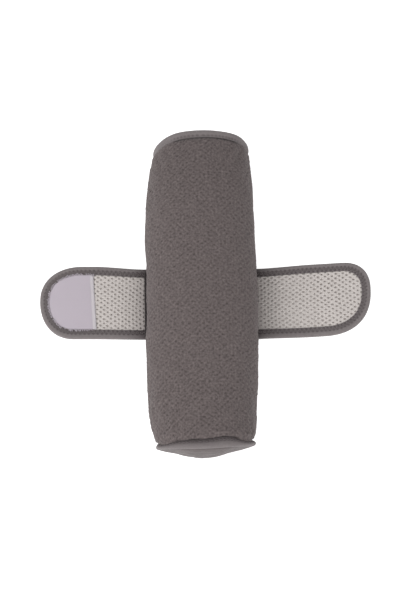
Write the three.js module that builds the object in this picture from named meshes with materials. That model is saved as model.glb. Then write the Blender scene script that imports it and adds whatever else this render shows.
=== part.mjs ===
import * as THREE from 'three';

// Seat belt shoulder pad: a stuffed bolster with bound ends, and a hook-and-loop strap across its back.
// Millimetres. The pad lies on its back: +Z is out of its front, +Y is towards its top end, X is across.
// The strap crosses behind the pad at mid-length, and its two tabs lie spread out to the left and right.

const DEGREE = Math.PI / 180;

// Driving dimensions of the pad
const PAD_LENGTH = 287; // rim to rim along the crown
const PAD_WIDTH = 98; // widest, at mid-length
const END_WIDTH = 81; // across the bound ends
const PAD_HEIGHT = 50; // crown above the surface the pad lies on, at mid-length
const END_HEIGHT = 44.5; // the same at the bound ends
const SIDE_LEVEL = 20; // height of the widest line at mid-length
const CORNER_LEVEL = 14.5; // height of the ends' corners
const END_FULLNESS = 2.4; // how full the ends' crown is: 2 is an ellipse, more is squarer
const SIDE_SEAM_ANGLE = 40; // degrees below the widest line where cover and back panel meet
const END_BULGE = 4.5; // how far the middle of an end stands out past its corners
const BASE_TUCK = 5; // how far the foot of an end is drawn in under its crown
const CORNER_FLARE = 1.6; // how far the stiff corners of the end tape stand out sideways
const PAD_ASIDE = 1.4; // the pad lies this far left of its strap's middle
const PAD_SWAY = 3.2; // and its centre line waves a little, left above and right below
const END_ASIDE = 2.8; // its bottom end is drawn to the right
const END_ASIDE_START = 100; // from here to the seam
const END_SKEW = 0.04; // and the right corners of both ends lie nearer the top end
const STRAP_BELOW_MIDDLE = 3.8; // the strap's centre line, from mid-length towards the bottom end

// Driving dimensions of the strap
const STRAP_WIDTH = 66;
const STRAP_WAIST = 1.1; // each edge lies this much further in where the pad is sewn to it
const TAB_START = 50; // where the tabs begin to widen, from the strap's middle
const TAB_EASE_SHARE = 0.82; // share of a tab's straight run over which it reaches its full width
const LEFT_REACH = 141.6; // from the strap's middle to the tip of the left tab
const RIGHT_REACH = 146.6; // the same on the right
const LEFT_TAB_LIFT = 1.5; // the left tab lies a little nearer the top end than the strap's middle
const RIGHT_TAB_RISE = 3.7 * DEGREE; // the right tab slants towards the top end
const RISE_START = 41; // where that slant begins, from the strap's middle
const RISE_EASE = 12; // length over which the slant sets in
const PATCH_LENGTH = 40; // hook and loop patches, from the tape's inner edge at the tip
const PATCH_SLANT = 1.9; // the hook patch's straight edge leans by this much each way
const TAPE_WIDTH = 8; // visible width of the strap's edge tape

// Cloth thicknesses and the clearance that separate pieces keep
const GAP = 0.3;
const COVER_THICKNESS = 2.2;
const SEAM_THICKNESS = 1.2; // cover or back panel where it is pressed inside the end tape
const BACK_THICKNESS = 1.2;
const PANEL_THICKNESS = 1;
const TAPE_THICKNESS = 0.7; // one layer of folded tape
const END_TAPE_WIDTH = 7;
const PANEL_DOME = 9.3; // how far the filling pushes an end panel out, from its seam
const BACKING_THICKNESS = 0.8;
const MESH_THICKNESS = 1.6;
const HOOK_THICKNESS = 1;

// Openings of the strap's mesh: a staggered pattern of six-sided holes
const HOLE_PITCH_X = 12.6;
const HOLE_PITCH_Y = 10;
const HOLE_LENGTH = 6.4;
const HOLE_WIDTH = 4.6;
const HOLE_MARGIN = 1.6; // least mesh left between a hole and what borders its field

// Heights of the strap's layers, from the surface up
const BACKING_Z = TAPE_THICKNESS + GAP;
const MESH_Z = BACKING_Z + BACKING_THICKNESS + GAP;
const UPPER_TAPE_Z = MESH_Z + MESH_THICKNESS + GAP;
const STRAP_THICKNESS = UPPER_TAPE_Z + TAPE_THICKNESS;
const HOOK_Z = MESH_Z + MESH_THICKNESS + GAP;

// Depths of the end seam's layers, from the tape's outer face in
const SEAM_DEPTH = TAPE_THICKNESS + GAP;
const PANEL_DEPTH = SEAM_DEPTH + SEAM_THICKNESS + GAP;
const END_TAPE_DEPTH = PANEL_DEPTH + PANEL_THICKNESS + GAP + TAPE_THICKNESS;
const DOME_DEPTH = END_TAPE_DEPTH + GAP; // where an end panel's dome rises, clear of the tape

// The pad's underside: level over the strap, then a slope down to the surface
const LEVEL_HALF = STRAP_WIDTH / 2 + STRAP_BELOW_MIDDLE + 2;
const UNDERSIDE_SLOPE = 34;

const HALF_LENGTH = PAD_LENGTH / 2;
const SEAM_Y = HALF_LENGTH - END_TAPE_WIDTH;
const EDGE_Y = HALF_LENGTH - TAPE_THICKNESS - GAP; // cut edges of the cloth inside the end tape

// Sampling: every piece of the pad shares these stations, so that neighbouring facets run parallel
const STEPS_ROUND = 36;
const SLOPE_SHARES = [0.16, 0.34, 0.52, 0.68, 0.81, 0.91, 0.97];
const DOME_SHARES = [0.6, 0.9]; // rings of an end's dome between its middle and its edge
const TIP_STEPS = 6;

const mix = (a, b, share) => a + (b - a) * share;
const smooth = (t) => t * t * (3 - 2 * t);
const clamp01 = (t) => Math.min(1, Math.max(0, t));
const power = (value, exponent) => Math.sign(value) * Math.abs(value) ** exponent;

// Height of the pad's underside: it lies on the surface at both ends and on the strap in the middle.
function undersideAt(y) {
  const down = clamp01((Math.abs(y) - LEVEL_HALF) / UNDERSIDE_SLOPE);
  return mix(STRAP_THICKNESS + GAP, 0, smooth(down));
}

// The pad's width, heights and roundness at y. The sides swell quickly from the end seams.
function sectionAt(y) {
  const s = Math.min(1, Math.abs(y) / SEAM_Y);
  const swell = (1 - s ** 1.75) ** 0.45;
  return {
    half: mix(END_WIDTH, PAD_WIDTH, swell) / 2,
    crown: mix(END_HEIGHT, PAD_HEIGHT, swell),
    side: mix(CORNER_LEVEL, SIDE_LEVEL, swell),
    base: undersideAt(y),
    fullness: mix(END_FULLNESS, 2, swell), // exponent of the upper half
    flatness: mix(2, 3, swell), // exponent of the lower half: an ellipse at the ends, flatter between
    flare: CORNER_FLARE * clamp01((Math.abs(y) - SEAM_Y) / END_TAPE_WIDTH),
  };
}

// Lays a point of the straight pad down as the soft pad lies: ends bulged and tucked, then bent and skewed.
function lay(x, y, z) {
  const nearEnd = (Math.abs(y) / HALF_LENGTH) ** 3;
  const bulge = END_BULGE * (x / (END_WIDTH / 2)) ** 2;
  const tuck = BASE_TUCK * ((END_HEIGHT - z) / END_HEIGHT) ** 2;
  const drawnIn = y - Math.sign(y) * nearEnd * (bulge + tuck);
  const t = y / HALF_LENGTH;
  const aside = END_ASIDE * smooth(clamp01((-y - END_ASIDE_START) / (SEAM_Y - END_ASIDE_START)));
  const bent = x - PAD_ASIDE + PAD_SWAY * (t ** 3 - t) + aside;
  return new THREE.Vector3(bent, drawnIn + END_SKEW * bent * t ** 2, z);
}

// A point at a given depth under the pad's skin. The angle runs from the right side over the crown.
// A share below 1 draws the point in towards the middle of the section.
function skin(y, angle, depth, share = 1) {
  const { half, crown, side, base, fullness, flatness, flare } = sectionAt(y);
  const cosine = Math.cos(angle);
  const sine = Math.sin(angle);
  const upper = sine >= 0;
  const exponent = 2 / (upper ? fullness : flatness);
  const reach = half - depth + flare * cosine ** 6;
  const rise = upper ? crown - depth - side : side - base - depth;
  const middle = (crown + base) / 2;
  const x = reach * power(cosine, exponent);
  const z = side + rise * power(sine, exponent);
  return lay(x * share, y, middle + (z - middle) * share);
}

// A closed geometry from points and triangles, wound so that its faces point out.
function solid(points, faces) {
  let volume = 0;
  for (const [a, b, c] of faces) {
    volume += points[a].dot(points[b].clone().cross(points[c]));
  }
  const wound = volume < 0 ? faces.map(([a, b, c]) => [a, c, b]) : faces;
  const geometry = new THREE.BufferGeometry();
  const numbers = points.flatMap((point) => point.toArray());
  geometry.setAttribute('position', new THREE.Float32BufferAttribute(numbers, 3));
  geometry.setIndex(wound.flat());
  geometry.computeVertexNormals();
  return geometry;
}

// Two triangles for each cell between line a and line b of point numbers.
function strip(a, b, wraps) {
  const faces = [];
  const cells = wraps ? a.length : a.length - 1;
  for (let i = 0; i < cells; i += 1) {
    const j = (i + 1) % a.length;
    faces.push([a[i], a[j], b[j]], [a[i], b[j], b[i]]);
  }
  return faces;
}

// Numbers for a grid of points, from the given first number.
function numbered(grid, first) {
  const columns = grid[0].length;
  return grid.map((row, r) => row.map((_, c) => first + r * columns + c));
}

// A wall of cloth between an outer and an inner grid of points, closed along its four edges.
function wall(outer, inner) {
  const out = numbered(outer, 0);
  const into = numbered(inner, outer.length * outer[0].length);
  const faces = [];
  for (let r = 0; r + 1 < out.length; r += 1) {
    faces.push(...strip(out[r], out[r + 1], false));
    faces.push(...strip(into[r + 1], into[r], false));
  }
  const last = out.length - 1;
  const column = (grid, c) => grid.map((row) => row[c]);
  const end = outer[0].length - 1;
  faces.push(...strip(into[0], out[0], false));
  faces.push(...strip(out[last], into[last], false));
  faces.push(...strip(column(out, 0), column(into, 0), false));
  faces.push(...strip(column(into, end), column(out, end), false));
  return solid([...outer.flat(), ...inner.flat()], faces);
}

// A closed band: sections, each a closed line of points, follow each other round a loop.
function band(sections) {
  const lines = numbered(sections, 0);
  const faces = lines.flatMap((line, i) => strip(line, lines[(i + 1) % lines.length], true));
  return solid(sections.flat(), faces);
}

// A closed form through rings of points, with a pole at each end.
function poled(firstPole, rings, lastPole) {
  const lines = numbered(rings, 1);
  const last = 1 + rings.length * rings[0].length;
  const faces = [];
  for (let r = 0; r + 1 < lines.length; r += 1) {
    faces.push(...strip(lines[r], lines[r + 1], true));
  }
  const fan = (line, centre) => line.map((a, i) => [centre, line[(i + 1) % line.length], a]);
  faces.push(...fan(lines[0], 0), ...fan([...lines[lines.length - 1]].reverse(), last));
  return solid([firstPole, ...rings.flat(), lastPole], faces);
}

const angleOf = (step) => (step / STEPS_ROUND) * 2 * Math.PI;
const stepsRound = Array.from({ length: STEPS_ROUND }, (_, i) => i);

// Rows of the pad from its middle to just short of its end seam, and the same from end to end.
const halfRows = [LEVEL_HALF, ...SLOPE_SHARES.map((share) => mix(LEVEL_HALF, SEAM_Y, share))];
const mirrored = (rows) => [...[...rows].reverse().map((y) => -y), 0, ...rows];

// Rows of the cover and back panel: the barrel, and the edges pressed inside the tape.
const clothRows = () => mirrored([...halfRows, SEAM_Y, EDGE_Y]);

// Depth of the cloth's outer face: it dips under the tape at the end seams.
const clothDepth = (y) => (Math.abs(y) >= SEAM_Y - 1e-6 ? SEAM_DEPTH : 0);

// A sheet of cloth on the pad's skin between two angles, in degrees, pressed thin inside the end tape.
function skinCloth(fromAngle, toAngle, thickness) {
  const step = 360 / STEPS_ROUND;
  const angles = [];
  for (let angle = fromAngle + step; angle < toAngle - step / 2; angle += step) {
    angles.push(angle);
  }
  const seamShift = (GAP / 2 / (END_WIDTH / 2)) / DEGREE;
  const columns = [fromAngle + seamShift, ...angles, toAngle - seamShift].map((a) => a * DEGREE);
  const grid = (inner) =>
    clothRows().map((y) => {
      const pressed = clothDepth(y) > 0;
      const depth = clothDepth(y) + (inner ? (pressed ? SEAM_THICKNESS : thickness) : 0);
      return columns.map((angle) => skin(y, angle, depth));
    });
  return wall(grid(false), grid(true));
}

const frontCover = () => skinCloth(-SIDE_SEAM_ANGLE, 180 + SIDE_SEAM_ANGLE, COVER_THICKNESS);
const backPanel = () => skinCloth(180 + SIDE_SEAM_ANGLE, 360 - SIDE_SEAM_ANGLE, BACK_THICKNESS);

// A ring of points across the pad, and the point in the middle of such a ring.
const ring = (y, depth, share = 1) => stepsRound.map((i) => skin(y, angleOf(i), depth, share));
const pole = (y) => skin(y, 0, 0, 0);

// An end's dome from its middle (1) to its edge (0): nearly level in the middle and steep at the edge.
const domed = (share) => Math.sqrt(1 - share ** 3);

// End panel: a lens-shaped disc that the filling pushes out, its edge turned out along the cover's.
function endPanel(side) {
  const at = (offset) => side * (SEAM_Y + offset);
  const domeAt = (share, offset) => at(offset + PANEL_DOME * domed(share));
  const inner = PANEL_DEPTH + PANEL_THICKNESS;
  const foot = DOME_DEPTH - PANEL_THICKNESS;
  const outside = DOME_SHARES.map((s) => ring(domeAt(s, PANEL_THICKNESS), DOME_DEPTH, s));
  const rim = [
    ring(at(PANEL_THICKNESS), DOME_DEPTH),
    ring(at(PANEL_THICKNESS), inner),
    ring(side * EDGE_Y, inner),
    ring(side * EDGE_Y, PANEL_DEPTH),
    ring(at(0), PANEL_DEPTH),
    ring(at(0), foot),
  ];
  const inside = [...DOME_SHARES].reverse().map((s) => ring(domeAt(s, 0), foot, s));
  return poled(pole(domeAt(0, PANEL_THICKNESS)), [...outside, ...rim, ...inside], pole(domeAt(0, 0)));
}

// End tape: folded over the edges of cover, back panel and end panel, all round the end.
function endTape(side) {
  const legStart = SEAM_Y + GAP;
  const innerLegStart = SEAM_Y + PANEL_THICKNESS + 2 * GAP;
  const fold = HALF_LENGTH - TAPE_THICKNESS;
  const depth = END_TAPE_DEPTH;
  const profile = [
    [0, legStart],
    [0, HALF_LENGTH - 1.8],
    [depth * 0.16, HALF_LENGTH - 0.4],
    [depth / 2, HALF_LENGTH],
    [depth * 0.84, HALF_LENGTH - 0.4],
    [depth, HALF_LENGTH - 1.8],
    [depth, innerLegStart],
    [depth - TAPE_THICKNESS, innerLegStart],
    [depth - TAPE_THICKNESS, fold],
    [TAPE_THICKNESS, fold],
    [TAPE_THICKNESS, legStart],
  ];
  return band(stepsRound.map((i) => profile.map(([d, y]) => skin(side * y, angleOf(i), d))));
}

// Filling: the soft fibre bolster, clear of the cover all round and of the end panels' domes.
function filling() {
  const depth = COVER_THICKNESS + GAP;
  const end = SEAM_Y - GAP;
  const domeAt = (share) => end + PANEL_DOME * domed(share);
  const cap = (side) => DOME_SHARES.map((s) => ring(side * domeAt(s), DOME_DEPTH, s));
  const body = [
    ring(-end, DOME_DEPTH),
    ...mirrored(halfRows).map((y) => ring(y, depth)),
    ring(end, DOME_DEPTH),
  ];
  return poled(pole(-domeAt(0)), [...cap(-1), ...body, ...cap(1).reverse()], pole(domeAt(0)));
}

// The tabs' rounded tips: where the tip lies off the centre line, the lengths of the upper and the
// lower corner, and how full the corners are (2 is an ellipse).
const LEFT_TIP = { side: -1, reach: LEFT_REACH, lift: 2, upper: 36.5, lower: 30, fullness: 2.07 };
const RIGHT_TIP = { side: 1, reach: RIGHT_REACH, lift: 6.4, upper: 25.4, lower: 42, fullness: 2.38 };
const tipAt = (x) => (x < 0 ? LEFT_TIP : RIGHT_TIP);

// Length over which a tab widens: a share of its straight run, from TAB_START to its rounded tip.
const tabEase = ({ reach, upper, lower }) => TAB_EASE_SHARE * (reach - Math.max(upper, lower) - TAB_START);

// The tabs' centre lines: the right one slants smoothly from RISE_START outwards, the left one is lifted.
function strapRise(x) {
  const past = x - RISE_START;
  const slant = (Math.tan(RIGHT_TAB_RISE) * (past + Math.hypot(past, RISE_EASE))) / 2;
  return slant + LEFT_TAB_LIFT * smooth(clamp01((-x - TAB_START) / tabEase(LEFT_TIP)));
}

// Lays a point of the straight strap down: narrower at the pad, and along the tabs' centre lines.
function onStrap(x, y) {
  const narrow = 1 - smooth(clamp01((Math.abs(x) - TAB_START) / tabEase(tipAt(x))));
  const across = y * (1 - (STRAP_WAIST * narrow) / (STRAP_WIDTH / 2));
  return new THREE.Vector2(x, across + strapRise(x) - STRAP_BELOW_MIDDLE);
}

// A tip's outline from its lower corner to its upper one, drawn in by an inset from the strap's edge.
function tipOutline({ side, reach, lift, upper, lower, fullness }, inset) {
  const points = [];
  for (let i = -TIP_STEPS; i <= TIP_STEPS; i += 1) {
    const angle = (i / TIP_STEPS) * (Math.PI / 2);
    const long = i < 0 ? lower : upper;
    const wide = STRAP_WIDTH / 2 + (i < 0 ? lift : -lift);
    const x = reach - long + (long - inset) * power(Math.cos(angle), 2 / fullness);
    const y = lift + (wide - inset) * power(Math.sin(angle), 2 / fullness);
    points.push([side * x, y]);
  }
  return points;
}

// The whole strap's outline, anticlockwise, drawn in by an inset. The long edges carry a few stations
// for the tabs' slant and widening.
function strapOutline(inset) {
  const edge = STRAP_WIDTH / 2 - inset;
  const widening = (tip) => [1, 0.5].map((share) => TAB_START + share * tabEase(tip));
  const stations = [...widening(RIGHT_TIP), RISE_START + RISE_EASE, RISE_START, RISE_START - RISE_EASE];
  stations.push(0, -TAB_START, ...widening(LEFT_TIP).reverse().map((x) => -x));
  const top = stations.map((x) => [x, edge]);
  const bottom = [...stations].reverse().map((x) => [x, -edge]);
  const left = tipOutline(LEFT_TIP, inset).reverse();
  const outline = [...tipOutline(RIGHT_TIP, inset), ...top, ...left, ...bottom];
  return outline.map(([x, y]) => onStrap(x, y));
}

// A flat layer of the strap: an outline given its thickness, with its underside at z.
function layer(outline, thickness, z, holes = []) {
  const shape = new THREE.Shape(outline);
  shape.holes = holes.map((points) => new THREE.Path(points));
  const geometry = new THREE.ExtrudeGeometry(shape, { depth: thickness, bevelEnabled: false, steps: 1 });
  return geometry.translate(0, 0, z);
}

const TAPE_INSET = TAPE_THICKNESS + GAP; // where the layers inside the strap's tape end

const strapBacking = () => layer(strapOutline(TAPE_INSET), BACKING_THICKNESS, BACKING_Z);

// Where the straight edge of each patch lies, from the pad's centre line.
const HOOK_EDGE = LEFT_REACH - TAPE_WIDTH - PATCH_LENGTH;
const LOOP_EDGE = RIGHT_REACH - TAPE_WIDTH - PATCH_LENGTH;

// The six corners of one opening, longer across the pad than along it.
function opening(x, y) {
  const corners = [[1, 0], [0.5, 1], [-0.5, 1], [-1, 0], [-0.5, -1], [0.5, -1]];
  return corners.map(([u, v]) => onStrap(x + (u * HOLE_LENGTH) / 2, y + (v * HOLE_WIDTH) / 2));
}

// How far the mesh reaches above and below the centre line at x before the tape covers it.
function meshEdgesAt(x) {
  const tip = tipAt(x);
  const edge = (corner, wide) => {
    const past = Math.max(0, Math.abs(x) - (tip.reach - corner));
    const share = Math.min(1, past / (corner - TAPE_WIDTH));
    return (wide - TAPE_WIDTH) * (1 - share ** tip.fullness) ** (1 / tip.fullness);
  };
  const above = tip.lift + edge(tip.upper, STRAP_WIDTH / 2 - tip.lift);
  const below = tip.lift - edge(tip.lower, STRAP_WIDTH / 2 + tip.lift);
  return { above, below };
}

// Centres of the openings: staggered columns over the mesh that shows at each side of the pad.
function openingCentres() {
  const clear = HOLE_MARGIN + HOLE_LENGTH / 2;
  const fields = [
    [-HOOK_EDGE + PATCH_SLANT + clear, -PAD_WIDTH / 2],
    [PAD_WIDTH / 2, RIGHT_REACH - TAPE_WIDTH - clear],
  ];
  const centres = [];
  for (const [from, to] of fields) {
    const columns = Math.floor((to - from) / (HOLE_PITCH_X / 2));
    for (let c = 0; c <= columns; c += 1) {
      const x = from + (c * HOLE_PITCH_X) / 2;
      const shift = c % 2 ? HOLE_PITCH_Y / 2 : 0;
      const outer = x + Math.sign(x) * (HOLE_LENGTH / 2);
      const { above, below } = meshEdgesAt(outer);
      const room = HOLE_MARGIN + HOLE_WIDTH / 2;
      const rows = Math.ceil(STRAP_WIDTH / HOLE_PITCH_Y);
      for (let r = -rows; r <= rows; r += 1) {
        const y = r * HOLE_PITCH_Y + shift;
        if (y + room < above && y - room > below) {
          centres.push([x, y]);
        }
      }
    }
  }
  return centres;
}

const strapMesh = () =>
  layer(strapOutline(TAPE_INSET), MESH_THICKNESS, MESH_Z, openingCentres().map(([x, y]) => opening(x, y)));

// The strap's edge tape: one folded band all round, its two legs TAPE_WIDTH wide.
function strapTape() {
  const height = STRAP_THICKNESS;
  const profile = [
    [TAPE_WIDTH, 0],
    [1.6, 0],
    [0.45, 0.55],
    [0, height / 2],
    [0.45, height - 0.55],
    [1.6, height],
    [TAPE_WIDTH, height],
    [TAPE_WIDTH, height - TAPE_THICKNESS],
    [TAPE_THICKNESS, height - TAPE_THICKNESS],
    [TAPE_THICKNESS, TAPE_THICKNESS],
    [TAPE_WIDTH, TAPE_THICKNESS],
  ];
  const lines = profile.map(([inset, z]) => strapOutline(inset).map(({ x, y }) => [x, y, z]));
  const sections = lines[0].map((_, i) => lines.map((line) => new THREE.Vector3(...line[i])));
  return band(sections);
}

// A patch that fills a tab's tip inside the tape, up to a straight edge across the tab.
function tipPatch(tip, edgeX, slant, thickness, z) {
  const edge = STRAP_WIDTH / 2 - TAPE_WIDTH - GAP;
  const round = tipOutline(tip, TAPE_WIDTH + GAP).filter(([x]) => Math.abs(x) > edgeX + slant);
  const outline = [[tip.side * (edgeX - slant), -edge], ...round, [tip.side * (edgeX + slant), edge]];
  const ordered = tip.side > 0 ? outline : outline.reverse();
  return layer(ordered.map(([x, y]) => onStrap(x, y)), thickness, z);
}

const hookPatch = () => tipPatch(LEFT_TIP, HOOK_EDGE, PATCH_SLANT, HOOK_THICKNESS, HOOK_Z);
const loopPatch = () => tipPatch(RIGHT_TIP, LOOP_EDGE, 0, TAPE_THICKNESS, 0);

const cloth = (color, roughness = 0.95) =>
  new THREE.MeshStandardMaterial({ color, roughness, metalness: 0 });

const coverCloth = cloth(0x6a6160);
const trimCloth = cloth(0x746c6c, 0.9);
const liningCloth = cloth(0x6b6361);
const meshCloth = cloth(0xb8b1ae);
const hookTape = cloth(0xc3bbc3, 0.8);
const loopTape = cloth(0x837b7c);
const fibre = cloth(0xe6e2dc);

function piece(name, geometry, material) {
  const mesh = new THREE.Mesh(geometry, material);
  mesh.name = name;
  return mesh;
}

const pad = new THREE.Group();
pad.add(piece('filling', filling(), fibre));
pad.add(piece('front_cover', frontCover(), coverCloth));
pad.add(piece('back_panel', backPanel(), liningCloth));
for (const [name, side] of [['top', 1], ['bottom', -1]]) {
  pad.add(piece(`${name}_end_panel`, endPanel(side), trimCloth));
  pad.add(piece(`${name}_end_binding`, endTape(side), trimCloth));
}

const strap = new THREE.Group();
strap.add(piece('strap_backing', strapBacking(), liningCloth));
strap.add(piece('strap_mesh', strapMesh(), meshCloth));
strap.add(piece('strap_binding', strapTape(), trimCloth));
strap.add(piece('hook_patch', hookPatch(), hookTape));
strap.add(piece('loop_patch', loopPatch(), loopTape));

// The origin is under the middle of the whole part, so the longer right tab shifts everything left.
const shoulderPad = new THREE.Group();
shoulderPad.add(pad, strap);
shoulderPad.position.x = (LEFT_REACH - RIGHT_REACH) / 2;

export default shoulderPad;
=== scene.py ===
# %% [markdown]
# # A seat belt shoulder pad, dressed for its portrait
#
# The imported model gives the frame: a stuffed bolster with bound ends that lies on its back, and a
# strap that crosses behind it with two tabs spread out to the sides. It is sewn goods, so every piece
# here is cloth: an air mesh cover, smooth bound ends, a strap of open mesh with a folded edge tape,
# and a hook patch and a loop patch. Each step first says what the piece is and how it is made.
#
# All sizes below are in millimetres, as in the part's source. `placed` turns them into the metres of
# the row frame.

import math

import bpy
import numpy as np
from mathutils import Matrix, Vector


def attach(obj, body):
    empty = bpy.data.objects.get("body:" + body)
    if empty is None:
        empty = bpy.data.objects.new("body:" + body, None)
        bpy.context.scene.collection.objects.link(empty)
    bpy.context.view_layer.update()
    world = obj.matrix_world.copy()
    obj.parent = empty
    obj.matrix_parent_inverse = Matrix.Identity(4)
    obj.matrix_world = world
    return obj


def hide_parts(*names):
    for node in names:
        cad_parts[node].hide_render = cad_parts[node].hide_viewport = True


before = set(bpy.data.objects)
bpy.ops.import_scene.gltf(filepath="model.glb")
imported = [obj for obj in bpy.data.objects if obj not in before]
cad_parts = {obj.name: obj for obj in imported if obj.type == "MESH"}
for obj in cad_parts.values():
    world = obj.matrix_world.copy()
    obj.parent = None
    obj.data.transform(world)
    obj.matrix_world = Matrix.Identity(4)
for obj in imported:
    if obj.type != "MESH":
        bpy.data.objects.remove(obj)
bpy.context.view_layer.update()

# %% [markdown]
# ## The camera
#
# The pad was photographed from steeply above its near end, so the bolster's crown is seen with a
# little of its near end panel, and its far end panel is hidden. A long lens from about a metre and a
# half keeps the two ends nearly the same size; a view without perspective would make them equal, which
# they are not. The camera looks along +Y, level from side to side.

# %% Camera
CAMERA_ELEVATION = math.radians(71.0)
CAMERA_DISTANCE = 1.65
CAMERA_TARGET = (-0.00485, -0.0057, 0.02)
LENS_MM = 114.9


def add_camera():
    """Looks at the target from CAMERA_DISTANCE away, at CAMERA_ELEVATION above the floor."""
    data = bpy.data.cameras.new("camera")
    data.lens = LENS_MM
    data.sensor_width = 36.0
    data.clip_end = 20.0
    camera = bpy.data.objects.new("camera", data)
    x, y, z = CAMERA_TARGET
    camera.location = (
        x,
        y - CAMERA_DISTANCE * math.cos(CAMERA_ELEVATION),
        z + CAMERA_DISTANCE * math.sin(CAMERA_ELEVATION),
    )
    camera.rotation_euler = (math.pi / 2 - CAMERA_ELEVATION, 0, 0)
    bpy.context.collection.objects.link(camera)
    bpy.context.scene.camera = camera


add_camera()

# %% [markdown]
# ## Meshes from grids
#
# Cloth is a surface with two directions, so nearly every piece is a grid of points: rows along one
# direction and columns along the other. It could be modelled by hand and subdivided, but a grid that
# is worked out from sizes stays even, and any piece can find its neighbour's surface. A small set of
# helpers turns such grids into closed meshes, with the cells as faces. A piece's object stays at the
# origin and its place is in its mesh.

# %% Mesh helpers
SHIFT_X = -2.5  # the part's origin is under its middle, and the strap's middle lies this far left


def placed(points):
    """Millimetres to metres of the row frame: the point moved by SHIFT_X along x, over 1000."""
    return (np.asarray(points, float) + np.array([SHIFT_X, 0.0, 0.0])) / 1000.0


def grid_faces(rows, columns, first=0, wrap_rows=False, wrap_columns=False):
    """Four corners for each cell of a grid whose point (r, c) has the number first + r * columns + c."""
    r = np.arange(rows if wrap_rows else rows - 1)
    c = np.arange(columns if wrap_columns else columns - 1)
    r, c = np.meshgrid(r, c, indexing="ij")
    r2, c2 = (r + 1) % rows, (c + 1) % columns
    corners = [r * columns + c, r * columns + c2, r2 * columns + c2, r2 * columns + c]
    return first + np.stack(corners, -1).reshape(-1, 4)


def signed_volume(points, faces):
    """Six times the volume that the faces enclose: positive when they point outwards."""
    a, b, c = (points[faces[:, i]] for i in (0, 1, 2))
    total = np.einsum("ij,ij->", a, np.cross(b, c))
    if faces.shape[1] == 4:
        d = points[faces[:, 3]]
        total += np.einsum("ij,ij->", a, np.cross(c, d))
    return total


def tip_fans(rows, columns):
    """Triangles that close a wrapped grid at its first and last row, onto two tips that follow it."""
    ring, last = np.arange(columns), rows * columns
    after, far = np.roll(ring, -1), last - columns
    near_fan = np.stack([after, ring, np.full(columns, last)], -1)
    far_fan = np.stack([ring + far, after + far, np.full(columns, last + 1)], -1)
    return near_fan, far_fan


def repeated(faces, times, count):
    """The same faces for many copies of a small mesh that has `count` points."""
    return (np.arange(times)[:, None, None] * count + faces[None]).reshape(-1, faces.shape[-1])


def make_piece(name, points, face_sets, uv, hollow=None):
    """A mesh object from points in millimetres and arrays of faces. uv holds two numbers per point,
    and hollow one, from 0 to 1: the share of painted shade where the point lies in a hole, groove or
    pit, or beside the pad; a few pieces use it for a second colour of their own."""
    points = placed(points)
    total = sum(signed_volume(points, faces) for faces in face_sets)
    sets = [faces if total >= 0 else faces[:, ::-1] for faces in face_sets]
    mesh = bpy.data.meshes.new(name)
    mesh.from_pydata(points.tolist(), [], [f for faces in sets for f in faces.tolist()])
    loops = np.empty(len(mesh.loops), np.int32)
    mesh.loops.foreach_get("vertex_index", loops)
    layer = mesh.uv_layers.new(name="cloth")
    layer.data.foreach_set("uv", np.asarray(uv, np.float32)[loops].ravel())
    if hollow is not None:
        values = mesh.attributes.new("hollow", "FLOAT", "POINT")
        values.data.foreach_set("value", np.clip(np.asarray(hollow, np.float32).ravel(), 0, 1))
    mesh.polygons.foreach_set("use_smooth", np.ones(len(mesh.polygons), bool))
    mesh.update()
    piece = bpy.data.objects.new(name, mesh)
    bpy.context.collection.objects.link(piece)
    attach(piece, "root")
    triangles = sum(len(faces) * (faces.shape[1] - 2) for faces in sets)
    print(f"{name}: {len(points)} points, {triangles} triangles")
    return piece


def dress(piece, material, slot, *nodes):
    """Gives a piece its finish and hides the nodes it stands for. The slot is not used."""
    piece.data.materials.append(material)
    if nodes:
        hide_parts(*nodes)
    return piece


# %% [markdown]
# ## Small wandering numbers
#
# Real cloth is never quite even. A smooth noise that is the same on every run comes from a sum of
# sine waves with fixed directions, drawn once from a seeded generator. Blender's own noise textures
# could do it too, but a formula can be read at any point before there is a mesh.


# %% Seeded waves
def waves(seed, count=9, turns=1.0):
    """Returns a function of two coordinates: a sum of `count` sine waves, between about -1 and 1."""
    draw = np.random.default_rng(seed)
    angle = draw.uniform(0, 2 * np.pi, count)
    speed = turns * draw.uniform(0.5, 1.6, count)
    phase = draw.uniform(0, 2 * np.pi, count)
    kx, ky = speed * np.cos(angle), speed * np.sin(angle)

    def value(x, y):
        x, y = np.broadcast_arrays(np.asarray(x, float), np.asarray(y, float))
        total = sum(np.sin(a * x + b * y + p) for a, b, p in zip(kx, ky, phase))
        return total / math.sqrt(count)

    return value


# %% [markdown]
# ## The bolster's shape
#
# The bolster is a rounded tube along Y. Its section is made of two halves that meet at the widest
# line: a tall one for the front, and a flat one for the side that lies down. Each half is a
# superellipse, an ellipse whose corners can be fuller, so one formula serves the round middle and the
# lens-shaped ends; a scaled cylinder could not change its section on the way. The soft pad doesn't
# lie quite straight: its centre line waves a little, its near end is drawn to the right, and its ends
# bulge. `skin` gives any point of it, and all that is sewn to the pad asks `skin` for its place.

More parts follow.
